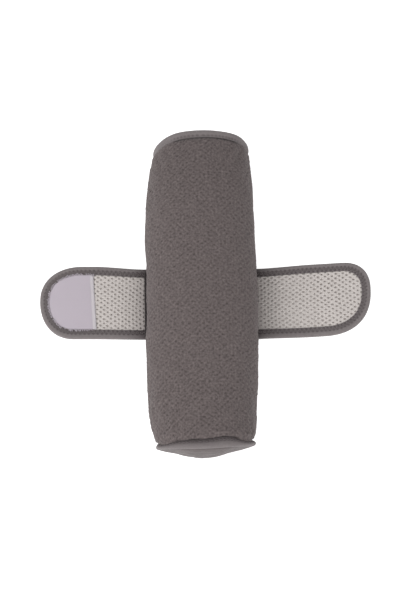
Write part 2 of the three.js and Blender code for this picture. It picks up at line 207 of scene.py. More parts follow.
# %% The pad's sizes
PAD_LENGTH = 287.0
PAD_WIDTH = 98.0
END_WIDTH = 81.0
PAD_HEIGHT = 50.0
END_HEIGHT = 44.5
SIDE_LEVEL = 20.0
CORNER_LEVEL = 14.5
END_FULLNESS = 2.4
END_BULGE = 4.5
BASE_TUCK = 5.0
CORNER_FLARE = 1.6  # mm that the end tapes' corners stand out
NEAR_LEFT_FLARE = 0.1  # times as much at the near end's left corner
NEAR_RIGHT_FLARE = 1.7
PAD_ASIDE = 1.4
PAD_SWAY = 3.2
END_ASIDE = 2.8
END_ASIDE_START = 100.0
END_SKEW = 0.04
STRAP_BELOW_MIDDLE = 3.8
END_TAPE_WIDTH = 7.0
STRAP_TOP = 4.7
GAP = 0.3
SIDE_SEAM_ANGLE = 40.0
NEAR_TUCK = ((232, 16, 3.0), (311, 13, 2.6))  # degrees round, spread, mm that the lower edge is drawn in
NEAR_TUCK_START = 95.0
PANEL_DOME = 9.3
PANEL_RIM = 6.1
PANEL_INSET = 3.3
PAD_WAIST = 1.5  # mm that the left side is pulled in where the strap crosses
WAIST_MIDDLE = 0.5
WAIST_HALF = 37.0

STRAP_WIDTH = 66.0
HALF_LENGTH = PAD_LENGTH / 2
SEAM_Y = HALF_LENGTH - END_TAPE_WIDTH
LEVEL_HALF = STRAP_WIDTH / 2 + STRAP_BELOW_MIDDLE + 2
UNDERSIDE_SLOPE = 34.0


# %% The pad's skin
def mix(a, b, share):
    """a where share is 0, b where it is 1."""
    return a + (b - a) * share


def ease(share):
    """0 to 1 with a level start and end: t^2 (3 - 2t)."""
    t = np.clip(share, 0.0, 1.0)
    return t * t * (3 - 2 * t)


def power(value, exponent):
    """|value|^exponent with the sign of the value."""
    return np.sign(value) * np.abs(value) ** exponent


def underside(y):
    """Height of the pad's underside: on the strap in the middle, on the floor at both ends."""
    return mix(STRAP_TOP + GAP, 0.0, ease((np.abs(y) - LEVEL_HALF) / UNDERSIDE_SLOPE))


def lay(x, y, z):
    """The straight pad's point as the soft pad lies: ends bulged and tucked, centre line waved."""
    t = y / HALF_LENGTH
    near_end = np.abs(t) ** 3
    bulge = END_BULGE * (x / (END_WIDTH / 2)) ** 2
    tuck = BASE_TUCK * ((END_HEIGHT - z) / END_HEIGHT) ** 2
    drawn_in = y - np.sign(y) * near_end * (bulge + tuck)
    aside = END_ASIDE * ease((-y - END_ASIDE_START) / (SEAM_Y - END_ASIDE_START))
    bent = x - PAD_ASIDE + PAD_SWAY * (t**3 - t) + aside
    return np.stack(np.broadcast_arrays(bent, drawn_in + END_SKEW * bent * t**2, z), -1)


def bells(angle, spots):
    """A sum of bells over the angle: height * exp(-(turn / spread)^2), turn measured the short way."""
    degrees = np.degrees(np.asarray(angle, float))
    total = np.zeros(degrees.shape)
    for middle, spread, height in spots:
        turn = np.mod(degrees - middle + 180, 360) - 180
        total = total + height * np.exp(-((turn / spread) ** 2))
    return total


def skin(y, angle, depth=0.0, share=1.0):
    """A point at a depth under the pad's skin. The angle, in radians, runs from the right side over
    the crown; the section is |x/reach|^n + |z/rise|^n = 1, with n = 2 to 2.4 above and 2 to 3 below.
    A share below 1 draws the point in towards the middle of the section."""
    y, angle, depth = np.broadcast_arrays(np.asarray(y, float), angle, depth)
    swell = (1 - np.minimum(1, np.abs(y) / SEAM_Y) ** 1.75) ** 0.45
    half = mix(END_WIDTH, PAD_WIDTH, swell) / 2
    crown = mix(END_HEIGHT, PAD_HEIGHT, swell)
    side = mix(CORNER_LEVEL, SIDE_LEVEL, swell)
    base = underside(y)
    past = np.clip((np.abs(y) - SEAM_Y) / END_TAPE_WIDTH, 0, 1.1)
    near_lobe = np.where(np.cos(angle) > 0, NEAR_RIGHT_FLARE, NEAR_LEFT_FLARE)
    lobe = np.where(y < 0, near_lobe, 1.0)
    flare = CORNER_FLARE * lobe * np.sin(0.82 * np.pi * past)
    upper = np.sin(angle) >= 0
    exponent = 2 / np.where(upper, mix(END_FULLNESS, 2.0, swell), mix(2.0, 3.0, swell))
    waist = PAD_WAIST * np.exp(-((y - WAIST_MIDDLE) / WAIST_HALF) ** 6) * np.clip(-np.cos(angle), 0, 1)
    reach = half - depth + flare * np.cos(angle) ** 6 - waist
    rise = np.where(upper, crown - depth - side, side - base - depth)
    x = reach * power(np.cos(angle), exponent)
    z = side + rise * power(np.sin(angle), exponent)
    middle = (crown + base) / 2
    near = ease((-y - NEAR_TUCK_START) / (SEAM_Y - NEAR_TUCK_START))
    tuck = bells(angle, NEAR_TUCK) * share**1.5 * near
    return lay(x * share, y + tuck, middle + (z - middle) * share)


def lengths_along(points):
    """Running length along a line of points, starting at 0."""
    steps = np.linalg.norm(np.diff(points, axis=0), axis=1)
    return np.concatenate([[0.0], np.cumsum(steps)])


def even_angles(start, stop, step):
    """Angles from start to stop, in degrees, whose points at mid-length lie `step` mm apart."""
    fine = np.radians(np.linspace(start, stop, 4000))
    run = lengths_along(skin(0.0, fine))
    count = max(2, int(round(run[-1] / step)) + 1)
    at = np.linspace(0, run[-1], count)
    return np.interp(at, run, fine), at


print("section at mid-length", round(float(even_angles(0, 360, 1.0)[1][-1]), 1), "mm round")

# %% [markdown]
# ## Folds from a cloth simulation
#
# A stuffed pad is not its pattern's shape: the filling pushes the cloth out between its seams, and
# where the seams hold it fine folds run in from them. Folds could be drawn by hand, but Blender's
# cloth solver finds where they belong: a slightly smaller closed tube gets pressure from inside while
# its seams are held, and after twenty frames each point has moved as far as the cloth let it. The
# broad swelling is in the pad's sizes already, so only the fine part is kept, as a field that the
# cover below can read at any place.

# %% The tube that is blown up
SLACK = 2.5  # the simulated tube starts this much smaller than the pad
SEAM_STEPS = np.array([0.0, 1.2, 2.6, 4.4])  # closer rows beside each end seam
SIM_ROWS = np.concatenate([-SEAM_Y + SEAM_STEPS, np.linspace(-129, 129, 60), SEAM_Y - SEAM_STEPS[::-1]])
SIM_ANGLES = np.radians(np.arange(0, 360, 4.0))


def sewn_tube(start):
    """The tube as an object, closed by a fan of triangles at each end, and its held points: the end
    rows, the back between the side seams, and the two tips."""
    rows, columns = start.shape[:2]
    ends = [skin(side * SEAM_Y, 0.0, 0.0, 0.0) for side in (-1, 1)]
    points = np.concatenate([start.reshape(-1, 3), np.stack(ends)])
    count = rows * columns
    faces = grid_faces(rows, columns, wrap_columns=True).tolist()
    for fan in tip_fans(rows, columns):
        faces += fan[:, [1, 0, 2]].tolist()
    mesh = bpy.data.meshes.new("swelling")
    mesh.from_pydata((points / 1000).tolist(), [], faces)
    tube = bpy.data.objects.new("swelling", mesh)
    bpy.context.collection.objects.link(tube)
    bpy.context.view_layer.objects.active = tube
    tube.select_set(True)
    bpy.ops.object.mode_set(mode="EDIT")
    bpy.ops.mesh.select_all(action="SELECT")
    bpy.ops.mesh.normals_make_consistent(inside=False)
    bpy.ops.object.mode_set(mode="OBJECT")
    degrees = np.degrees(SIM_ANGLES)
    fixed = np.zeros((rows, columns), bool)
    fixed[[0, -1]] = True
    fixed[:, (degrees >= 180 + SIDE_SEAM_ANGLE - 1) & (degrees <= 360 - SIDE_SEAM_ANGLE + 1)] = True
    held = tube.vertex_groups.new(name="held")
    held.add([int(i) for i in np.flatnonzero(fixed.ravel())] + [count, count + 1], 1.0, "REPLACE")
    return tube


# %% Blowing it up
PRESSURE = 45.0
SIM_FRAMES = 20
MOST_SWELL = 8.0
CLOTH_SETTINGS = {
    "quality": 6,
    "mass": 0.3,
    "tension_stiffness": 15,
    "compression_stiffness": 8,
    "shear_stiffness": 8,
    "bending_stiffness": 0.6,
    "use_pressure": True,
    "uniform_pressure_force": PRESSURE,
    "vertex_group_mass": "held",
}


def swelling():
    """How far each point of the coarse grid is pushed out along its normal, in millimetres."""
    start = skin(SIM_ROWS[:, None], SIM_ANGLES[None, :], SLACK)
    tube = sewn_tube(start)
    cloth = tube.modifiers.new("cloth", "CLOTH")
    for name, value in CLOTH_SETTINGS.items():
        setattr(cloth.settings, name, value)
    cloth.settings.effector_weights.gravity = 0.0
    cloth.collision_settings.use_collision = False
    cloth.point_cache.frame_start = 1
    cloth.point_cache.frame_end = SIM_FRAMES
    scene = bpy.context.scene
    for number in range(1, SIM_FRAMES + 1):
        scene.frame_set(number)
    shown = tube.evaluated_get(bpy.context.evaluated_depsgraph_get())
    moved = np.empty(len(tube.data.vertices) * 3, np.float32)
    shown.data.vertices.foreach_get("co", moved)
    scene.frame_set(1)
    moved = moved.reshape(-1, 3)[: start[..., 0].size].reshape(start.shape) * 1000
    mesh = tube.data
    bpy.data.objects.remove(tube)
    bpy.data.meshes.remove(mesh)
    outward = normals_of(start, wrap=True)
    return np.clip(np.einsum("rcx,rcx->rc", moved - start, outward), -MOST_SWELL, MOST_SWELL)


def normals_of(grid, wrap=False):
    """Unit normals of a grid of points: the cross product of its two central differences."""
    down = np.gradient(grid, axis=0)
    if wrap:
        across = (np.roll(grid, -1, axis=1) - np.roll(grid, 1, axis=1)) / 2
    else:
        across = np.gradient(grid, axis=1)
    normal = np.cross(across, down)
    normal /= np.maximum(np.linalg.norm(normal, axis=-1, keepdims=True), 1e-9)
    middle = grid.mean(axis=(0, 1))
    outward = np.einsum("rcx,rcx->", normal, grid - middle)
    return normal if outward >= 0 else -normal


def broad(field, passes=40):
    """The field's slow part: every value becomes (before + 2 * itself + after) / 4 round the tube and
    then along it, many times over."""
    for _ in range(passes):
        field = (np.roll(field, 1, axis=1) + 2 * field + np.roll(field, -1, axis=1)) / 4
        longer = np.concatenate([field[:1], field, field[-1:]])
        field = (longer[:-2] + 2 * longer[1:-1] + longer[2:]) / 4
    return field


# %% Keeping the folds
FOLD_SHARE = 0.6
FOLD_LIMIT = 0.9  # mm
swell_field = swelling()
fold_field = FOLD_SHARE * (swell_field - broad(swell_field))
crown_columns = (np.degrees(SIM_ANGLES) > 20) & (np.degrees(SIM_ANGLES) < 160)
usual = float(np.median(swell_field[10:-10, crown_columns]))
least, most = float(swell_field.min()), float(swell_field.max())
print(f"swelling: usual on the crown {usual:.2f} mm, from {least:.2f} to {most:.2f}")
print(f"folds: from {fold_field.min():.2f} to {fold_field.max():.2f} mm")


# %% Looking the folds up anywhere
def fold_at(y, angle):
    """The simulated folds at any place. Between the grid's points they follow Catmull-Rom curves in
    both directions, a cubic through the four nearest points, so that no crease shows."""
    turn = np.mod(np.asarray(angle, float), 2 * np.pi) / (2 * np.pi) * len(SIM_ANGLES)
    row = np.interp(np.asarray(y, float), SIM_ROWS, np.arange(len(SIM_ROWS)))
    row, turn = np.broadcast_arrays(row, turn)

    def weights(t):
        return (
            0.5 * (-t + 2 * t**2 - t**3),
            0.5 * (2 - 5 * t**2 + 3 * t**3),
            0.5 * (t + 4 * t**2 - 3 * t**3),
            0.5 * (-(t**2) + t**3),
        )

    r0, c0 = np.floor(row).astype(int), np.floor(turn).astype(int)
    total = np.zeros(row.shape)
    for i, wr in enumerate(weights(row - r0)):
        line = np.clip(r0 + i - 1, 0, len(SIM_ROWS) - 1)
        for j, wc in enumerate(weights(turn - c0)):
            total += wr * wc * fold_field[line, np.mod(c0 + j - 1, len(SIM_ANGLES))]
    return np.clip(total, -FOLD_LIMIT, FOLD_LIMIT)


# %% [markdown]
# ## The front cover: air mesh
#
# Air mesh is a thick knit with a staggered pattern of small pits. A bump texture could fake them, but
# it leaves the outline smooth and is lost in the exported mesh, so they are cut into the surface
# itself: each pit is a bell-shaped hollow, about half a millimetre deep, at the points of a centred
# lattice that follows the cloth.

# %% The air mesh pattern
PIT_PITCH = np.array([5.9, 5.1])  # round the pad and along it
PIT_SPREAD = np.array([1.0, 0.8])
PIT_DEPTH = 0.6
wander_round = waves(11, turns=0.09)
wander_along = waves(12, turns=0.09)


def scatter(i, j, seed):
    """A fixed random number from 0 to 1 for each pair of whole numbers: the fraction of a large sine."""
    value = np.sin(i * 127.1 + j * 311.7 + seed * 74.7) * 43758.5453
    return value - np.floor(value)


def pits(across, along):
    """Depth share of the nearest pit, 0 to 1: exp(-(dx/sx)^2 - (dy/sy)^2) round the points of a centred
    lattice. Its rows wander, and each pit has a place and a depth of its own."""
    u = across + 0.5 * wander_round(across, along)
    v = along + 0.5 * wander_along(across, along)
    deepest = np.zeros(np.broadcast(u, v).shape)
    for shift in (0.0, 0.5):
        i = np.round(u / PIT_PITCH[0] - shift)
        j = np.round(v / PIT_PITCH[1] - shift)
        du = u - (i + shift) * PIT_PITCH[0] + 1.3 * (scatter(i, j, 1 + shift) - 0.5)
        dv = v - (j + shift) * PIT_PITCH[1] + 1.1 * (scatter(i, j, 2 + shift) - 0.5)
        depth = 0.25 + 0.75 * scatter(i, j, 3 + shift)
        bell = depth * np.exp(-((du / PIT_SPREAD[0]) ** 2) - (dv / PIT_SPREAD[1]) ** 2)
        deepest = np.maximum(deepest, bell)
    return deepest


# %% [markdown]
# ## Where the end seams run
#
# The seam between cover and tape is not a level ring. At the near end it dips at both corners and
# climbs right of the middle; at the far end the tape comes down on the left. These wanderings could
# be pushed about by hand, but then cover, tape, panel and thread would have to be moved together, so
# they are written once, as bells over the angle, and every piece at the seam reads them.

# %% The end seams' lines
# Each bell: degrees round the pad, spread in degrees, and millimetres past the mean line.
NEAR_SEAM = ((146, 22, 3.6), (180, 15, 0.6), (30, 18, 3.4), (70, 14, -1.6))
FAR_SEAM = ((160, 22, -4.2),)
NEAR_RIM = ((196, 24, 1.7), (336, 22, 2.4))
FAR_RIM = ((125, 32, -1.2), (40, 18, -1.0))
FAR_OPEN_MIDDLE = 82.0  # the far seam's groove is open round this angle
FAR_OPEN_HALF = 32.0
FAR_OPEN_FADE = 20.0
LENS_HALF = (40.0, 22.0)  # half sizes of an end's panel
DROP_SHARE = 0.85
DROP_MIDDLE = 1.5
DROP_START = 9.0
DROP_REACH = 20.0


def seam_line(side, angle):
    """How far past its mean place the seam lies: the soft corners have pulled it out or in."""
    return bells(angle, NEAR_SEAM if side < 0 else FAR_SEAM)


def rim_draw(side, angle):
    """How far the rim of an end is drawn back towards the pad."""
    return bells(angle, NEAR_RIM if side < 0 else FAR_RIM)


def seam_open(side, angle):
    """1 where the seam is a deep groove, 0.1 where the tape lies flush: at the far corners."""
    if side < 0:
        return np.ones(np.shape(angle))
    degrees = np.degrees(angle)
    turn = np.abs(np.mod(degrees - FAR_OPEN_MIDDLE + 180, 360) - 180)
    return 0.1 + 0.9 * (1 - ease((turn - FAR_OPEN_HALF) / FAR_OPEN_FADE))


def panel_drop(side, angle, share):
    """How much lower the near end's panel lies beside its middle: its dome is narrow, not a full one."""
    if side > 0:
        return np.zeros(np.broadcast(angle, share).shape)
    across = np.abs(LENS_HALF[0] * share * np.cos(angle) - DROP_MIDDLE)
    height = DROP_SHARE * (PANEL_DOME - PANEL_RIM) * np.sqrt(1 - share**2.6)
    return height * ease((across - DROP_START) / DROP_REACH)


# %% [markdown]
# ## Building the cover
#
# The cover's grid is under one millimetre from point to point, fine enough for the pits. Behind the
# side seams it turns coarse, because there the filling lies against the back panel. Each effect is a
# distance out of the pad's skin: the folds, the pull of the end seams, a soft roll beside them, the
# pits, and a faint twill in a wide chevron. They are added up and the grid is moved once, along its
# normals; a stack of displacement modifiers could do the same, but less evenly at the seams.

# %% The cover's relief
COVER_STEP = 0.82
TWILL_PITCH = 3.1
NEEDLE_PITCH = 3.6  # needle holes beside the far seam, in mm
NEEDLE_SPREAD = (0.8, 0.9)
NEEDLE_PLACE = 1.2
ripple = waves(21, turns=0.35)
gather = waves(22, turns=1.1)
strand = waves(23, count=14, turns=1.5)


def cover_rows():
    """Stations along the pad: fine steps where the cover turns in at its end seams, else even ones."""
    first = np.array([0.0, 0.3, 0.65, 1.05, 1.5, 2.05, 2.7])
    count = int(round(2 * (SEAM_Y - 3.4) / COVER_STEP))
    even = np.linspace(-SEAM_Y + 3.4, SEAM_Y - 3.4, count)
    return np.concatenate([-SEAM_Y + first, even, SEAM_Y - first[::-1]])


def cover_relief(y, angle, across, from_end, from_side, opening):
    """How far the cloth stands out of the pad's skin at each place, and how dark it is there: painted
    shade in its pits and needle holes, and the twill's darker rows.
    """
    swollen = fold_at(y, angle) * ease(from_end / 6)
    deeper = np.where(y < 0, 1.2 + 0.9 * bells(angle, ((58, 24, 1.0),)), 0.6)
    drawn = (1.0 + 0.3 * gather(across * 0.6, np.sign(y) * 9)) * opening * deeper
    beside = (np.mod(across / NEEDLE_PITCH + 0.5, 1) - 0.5) * NEEDLE_PITCH / NEEDLE_SPREAD[0]
    needle = np.exp(-(beside**2) - ((from_end - NEEDLE_PLACE) / NEEDLE_SPREAD[1]) ** 2)
    needle = needle * opening * scatter(np.round(across / NEEDLE_PITCH), 0 * across, 4) * (y > 0)
    tucked = drawn * np.exp(-from_end / 1.1) + 0.5 * opening * np.exp(-from_end / 5) + 1.3 * needle
    crown_share = ease((np.sin(angle) + 0.1) / 0.6)
    bulge = np.where(y < 0, 0.9, 0.25) * crown_share * np.exp(-(((from_end - 5) / 4) ** 2))
    side_seam = 1.6 * (1 - ease(from_side / 4))
    out = swollen - tucked + bulge - side_seam + 0.22 * ripple(across, y) * ease(from_end / 12)
    smooth_corner = bells(angle, ((158, 26, 1.0),)) * np.exp(-from_end / 8) * (y > 0)
    pit = pits(across, y) * ease(from_side / 3) * ease((from_end - 0.6) / 2) * (1 - smooth_corner)
    chevron = y + 0.8 * np.abs(across - 6)
    phase = 2 * np.pi * chevron / TWILL_PITCH + 1.6 * gather(across * 0.5, y * 0.5)
    twill = (0.5 + 0.5 * np.sin(phase)) * (0.7 + 0.3 * ripple(across, y))
    twill = twill * (0.35 + 0.65 * ease((np.abs(y) - 60) / 50))
    twill = twill * ease(from_end / 3) * (1 - smooth_corner)
    knit = 0.1 * strand(across, y) * ease(from_end / 3) - 0.12 * twill
    return out + knit - PIT_DEPTH * pit, np.maximum(pit, needle) + 0.3 * twill


# %% Build the cover
CAP_SHARES = (0.97, 0.9, 0.75, 0.5, 0.25)


def cover_cap(side, angles):
    """Rings that close one end of the cover as a dome, inside the end panel."""
    rings = [skin(side * (SEAM_Y + 0.8), angles, 2.6)]
    for share in CAP_SHARES:
        dome = (PANEL_DOME - 1.5) * math.sqrt(1 - share**3) - panel_drop(side, angles, share)
        rings.append(skin(side * (SEAM_Y - 0.4 + dome), angles, 5.6, share))
    return np.stack(rings)


def cover_piece():
    """One closed padded form: fine front, coarse back inside the back panel, and domed ends."""
    front, run = even_angles(-SIDE_SEAM_ANGLE, 180 + SIDE_SEAM_ANGLE, COVER_STEP)
    back = np.radians(np.linspace(180 + SIDE_SEAM_ANGLE, 360 - SIDE_SEAM_ANGLE, 16)[1:-1])
    angles = np.concatenate([front, back])
    rows = cover_rows()
    y, angle = rows[:, None], angles[None, :]
    across = np.concatenate([run, np.full(len(back), run[-1])])[None, :] - run[-1] / 2
    is_front = (np.arange(len(angles)) < len(front))[None, :]
    from_side = np.minimum(across + run[-1] / 2, run[-1] / 2 - across)
    from_end = SEAM_Y - np.abs(y)
    line = np.where(y < 0, -seam_line(-1, angle), seam_line(1, angle))
    opening = np.where(y < 0, seam_open(-1, angle), seam_open(1, angle))
    y = y + line * np.exp(-from_end / 9)
    base = skin(y, angle, np.where(is_front, 0.0, 1.6))
    out, shade = cover_relief(y, angle, across, from_end, from_side, opening)
    surface = base + normals_of(base, wrap=True) * np.where(is_front, out, 0.0)[..., None]
    grid = np.concatenate([cover_cap(-1, angles)[::-1], surface, cover_cap(1, angles)])
    tips = [skin(side * (SEAM_Y + PANEL_DOME - 1.9), 0.0, 0.0, 0.0) for side in (-1, 1)]
    points = np.concatenate([grid.reshape(-1, 3), np.stack(tips)])
    columns, cap = len(angles), len(CAP_SHARES) + 1
    last = grid.shape[0] * columns
    uv = np.zeros((len(points), 2))
    uv_rows = np.concatenate([np.full(cap, -SEAM_Y), rows, np.full(cap, SEAM_Y)])
    uv[:last, 0] = np.broadcast_to(across, (grid.shape[0], columns)).ravel()
    uv[:last, 1] = np.repeat(uv_rows, columns)
    hollow = np.zeros(len(points))
    # Painted shade in the pits and needle holes, and the twill's darker rows.
    hollow[cap * columns : cap * columns + shade.size] = (shade * is_front).ravel()
    faces = [grid_faces(grid.shape[0], columns, wrap_columns=True), *tip_fans(grid.shape[0], columns)]
    return make_piece("padded_cover", points, faces, uv=uv, hollow=hollow)


cover = cover_piece()

# %% [markdown]
# ## The back panel
#
# The side that lies against the wearer's belt is plain lining, sewn to the cover along both sides.
# It is a stretched sheet: one grid for its outer face and one for its inner face, joined round the
# edge. A Solidify modifier would give the thickness too, but two grids can lie at depths of their own.
# Along its seams the lining is drawn in by the stitches.


# %% Closed sheets
def sheet_mesh(name, outer, inner, uv, hollow=None):
    """A closed thin piece from two grids of the same size: both faces and the four edges between."""
    rows, columns = outer.shape[:2]
    first = rows * columns
    top = grid_faces(rows, columns)
    bottom = grid_faces(rows, columns, first)[:, ::-1]
    r, c = np.arange(rows), np.arange(columns)
    low, high = c[:-1], (rows - 1) * columns + c[:0:-1]
    border = np.concatenate([low, r[:-1] * columns + columns - 1, high, r[:0:-1] * columns])
    after = np.roll(border, -1)
    edge = np.stack([after, border, border + first, after + first], -1)
    both = np.concatenate([uv.reshape(-1, 2)] * 2)
    points = np.concatenate([outer.reshape(-1, 3), inner.reshape(-1, 3)])
    pair = hollow if isinstance(hollow, tuple) else (hollow, hollow)
    values = None if hollow is None else np.concatenate([pair[0].ravel(), pair[1].ravel()])
    return make_piece(name, points, [top, bottom, edge], uv=both, hollow=values)


def back_panel_piece():
    """The lining between the side seams, puckered a little along them."""
    angles, run = even_angles(180 + SIDE_SEAM_ANGLE, 360 - SIDE_SEAM_ANGLE, 1.6)
    rows = np.linspace(-SEAM_Y - 1.5, SEAM_Y + 1.5, 181)
    y, angle = rows[:, None], angles[None, :]
    across = run[None, :] - run[-1] / 2
    from_side = np.minimum(across + run[-1] / 2, run[-1] / 2 - across)
    from_end = np.clip(SEAM_Y - np.abs(y), 0, None)
    seam = np.exp(-from_side / 2.5) + np.exp(-from_end / 2.5)
    depth = 0.35 + 0.55 * np.clip(seam, 0, 1.2) * (1 + 0.4 * gather(across * 0.4, y))
    uv = np.stack(np.broadcast_arrays(across, y), -1)
    return sheet_mesh("back_lining", skin(y, angle, depth), skin(y, angle, depth + 0.9), uv), run[-1]


back_lining, back_width = back_panel_piece()

# %% [markdown]
# ## The bound ends
#
# At each end the cover, the back panel and a lens-shaped end panel meet in one seam, and a smooth
# folded tape closes over their edges. The tape stands out from the end like a rim. It is a profile,
# a long narrow U, carried once round the pad; a bevelled curve would turn it at the corners, while
# here it stays square to the pad's skin. The stiff corners flare out a little, and the tape waves where
# it was stretched round the curve.

# %% End tapes
END_TAPE_DEPTH = 4.8
STITCH_PITCH = 3.8
tape_wave = waves(31, turns=0.16)
tape_pull = waves(32, turns=0.5)


def rounded_profile(corners, radius, steps):
    """A closed outline through corners, each corner replaced by a quarter curve of the radius."""
    corners = np.asarray(corners, float)
    before, after = np.roll(corners, 1, axis=0), np.roll(corners, -1, axis=0)
    points = []
    for a, b, c in zip(before, corners, after):
        reach_in = min(radius, np.linalg.norm(a - b) / 2.2)
        reach_out = min(radius, np.linalg.norm(c - b) / 2.2)
        start = b + (a - b) / np.linalg.norm(a - b) * reach_in
        stop = b + (c - b) / np.linalg.norm(c - b) * reach_out
        t = np.linspace(0, 1, steps)[:, None]
        points.append((1 - t) ** 2 * start + 2 * t * (1 - t) * b + t**2 * stop)
    return np.concatenate(points)


def refine(outline, step):
    """The closed outline again with its points about `step` apart along straight stretches."""
    after = np.roll(outline, -1, axis=0)
    parts = []
    for a, b in zip(outline, after):
        n = max(1, int(np.ceil(np.linalg.norm(b - a) / step)))
        parts.append(a + (b - a) * (np.arange(n) / n)[:, None])
    return np.concatenate(parts)


def end_tape_piece(name, side):
    """A band round one end: its profile gives a depth under the skin and a distance past the seam."""
    width, deep = END_TAPE_WIDTH, END_TAPE_DEPTH
    outline = [(0.25, -0.3), (0.0, width), (deep, width), (deep, 2.0), (deep - 0.8, 2.0)]
    outline += [(deep - 0.8, width - 1), (0.9, width - 1), (1.0, -0.3)]
    profile = refine(rounded_profile(outline, 2.6, 6), 0.6)
    angles, run = even_angles(-90, 270, 1.0)
    angles, run = angles[:-1], run[:-1]
    depth, past = profile[:, 0][None, :], profile[:, 1][None, :]
    angle, around = angles[:, None], run[:, None]
    share = np.clip(past / width, 0, 1)
    outside = ease((1.2 - depth) / 0.6)
    puff = 0.45 * np.sin(np.pi * share) * outside
    opening = seam_open(side, angle)
    valley = np.exp(-(((past - 1.7) / 0.7) ** 2)) * outside * opening
    stitch = np.cos(2 * np.pi * around / STITCH_PITCH)
    dimple = valley * (0.28 + 0.14 * stitch)
    wave = 0.18 * tape_wave(around, side * 40.0) + 0.1 * tape_pull(around, past * 0.5)
    out = puff - dimple + wave * share
    drift = seam_line(side, angle) * (1 - share) - rim_draw(side, angle) * share
    grid = skin(side * (SEAM_Y + past + drift), angle, depth - out)
    uv = np.stack(np.broadcast_arrays(around, depth + past), -1)
    faces = grid_faces(*grid.shape[:2], wrap_rows=True, wrap_columns=True)
    # Painted shade in the stitch valleys and the seam's groove; at the near end a broader painted shade
    # darkens the band below the cover's edge.
    hollow = 0.8 * valley * (0.5 + 0.5 * stitch) + 0.5 * opening * outside * np.exp(-np.abs(past) / 0.8)
    if side < 0:
        hollow = hollow + 0.65 * outside * np.exp(-((past / 4.0) ** 2))
    return make_piece(name, grid.reshape(-1, 3), [faces], uv=uv.reshape(-1, 2), hollow=hollow)


top_tape = end_tape_piece("top_end_tape", 1)
bottom_tape = end_tape_piece("bottom_end_tape", -1)

# %% [markdown]
# ## The end panels
#
# Inside each tape the filling pushes the lens-shaped panel out past the rim. Its middle is nearly
# level and its edge steep, with a few soft creases from the seam. It could be a squashed sphere, but
# rings that are shares of the pad's own section meet the tape all round without a gap.

# %% End panels
crease = waves(41, turns=0.22)
fine_crease = waves(42, turns=0.6)


def end_panel_piece(name, side):
    """Rings from inside the tape's rim to the middle, where the panel is domed: its height past the
    rim goes with sqrt(1 - share^2.6)."""
    angles, run = even_angles(0, 360, 1.5)
    angles, run = angles[:-1], run[:-1]
    shares = np.concatenate([np.full(5, 1.0), np.linspace(0.995, 0.9, 9), np.linspace(0.88, 0.04, 34)])
    rim = np.concatenate([[0.2, 1.6, 3.0, 4.3, PANEL_RIM], np.full(43, PANEL_RIM)])[:, None]
    angle, share = angles[None, :], shares[:, None]
    height = rim + (PANEL_DOME - PANEL_RIM) * np.sqrt(1 - share**2.6)
    across, up = LENS_HALF[0] * share * np.cos(angle), LENS_HALF[1] * share * np.sin(angle)
    dents = 0.3 * crease(across, up * 1.6) + 0.16 * fine_crease(across * 0.6, up * 2)
    rise = height + dents * ease((1 - share) / 0.2) - rim_draw(side, angle) * share**3
    rise = rise - panel_drop(side, angle, share)
    outer = skin(side * (SEAM_Y + 1 + rise), angle, PANEL_INSET, share)
    inner_shares = np.array([1.0, 0.95, 0.85, 0.6, 0.3])[:, None]
    inner_height = (PANEL_DOME - 1.5) * np.sqrt(1 - inner_shares**3)
    inner_height = inner_height - panel_drop(side, angle, inner_shares)
    inner = skin(side * (SEAM_Y + 0.6 + inner_height), angle, END_TAPE_DEPTH + 1.0, inner_shares)
    flange = skin(side * (SEAM_Y + 0.2), angles, 2.7)[None]
    grid = np.concatenate([outer[::-1], flange, inner])
    columns = len(angles)
    poles = np.stack([
        skin(side * (SEAM_Y + 1 + PANEL_DOME), 0.0, 0.0, 0.0),
        skin(side * (SEAM_Y + PANEL_DOME - 0.9), 0.0, 0.0, 0.0),
    ])
    points = np.concatenate([grid.reshape(-1, 3), poles])
    last = grid.shape[0] * columns
    faces = [grid_faces(grid.shape[0], columns, wrap_columns=True), *tip_fans(grid.shape[0], columns)]
    uv = np.zeros((len(points), 2))
    uv[:last] = np.stack([points[:last, 0], points[:last, 2]], -1)
    uv[last:] = points[last:][:, [0, 2]]
    return make_piece(name, points, faces, uv=uv)


top_panel = end_panel_piece("top_end_disc", 1)
bottom_panel = end_panel_piece("bottom_end_disc", -1)

# %% [markdown]
# ## The strap's outline
#
# The strap is a long flat piece with two rounded tips. Its right tab slants upwards, its left tab
# is lifted a little, and it is narrowest where the pad is sewn to it. A drawn curve could give the
# outline, but mesh, backing, tape, patches and thread all need it at insets of their own. So one
# function gives its edge at any distance across, and another carries a line round the whole of it.

# %% Strap sizes and outline
STRAP_WAIST = 1.1
TAB_START = 50.0
TAB_EASE_SHARE = 0.82
LEFT_REACH = 141.6
RIGHT_REACH = 146.6
LEFT_TAB_LIFT = 1.5
RIGHT_TAB_RISE = math.radians(3.7)
RISE_START = 41.0
RISE_EASE = 12.0
PATCH_LENGTH = 40.0
PATCH_SLANT = 1.9
TAPE_WIDTH = 8.0
BACKING_Z = 1.0
BACKING_TOP = 2.5
MESH_Z = 2.6
MESH_TOP = 3.7
LEFT_TIP = dict(side=-1, reach=LEFT_REACH, lift=2.0, upper=36.5, lower=30.0, fullness=2.17)
RIGHT_TIP = dict(side=1, reach=RIGHT_REACH, lift=6.4, upper=25.4, lower=42.0, fullness=2.38)
HOOK_EDGE = LEFT_REACH - TAPE_WIDTH - PATCH_LENGTH
LOOP_EDGE = RIGHT_REACH - TAPE_WIDTH - PATCH_LENGTH


def tab_ease(tip):
    """Length over which a tab widens: a share of its straight run, up to its rounded tip."""
    return TAB_EASE_SHARE * (tip["reach"] - max(tip["upper"], tip["lower"]) - TAB_START)


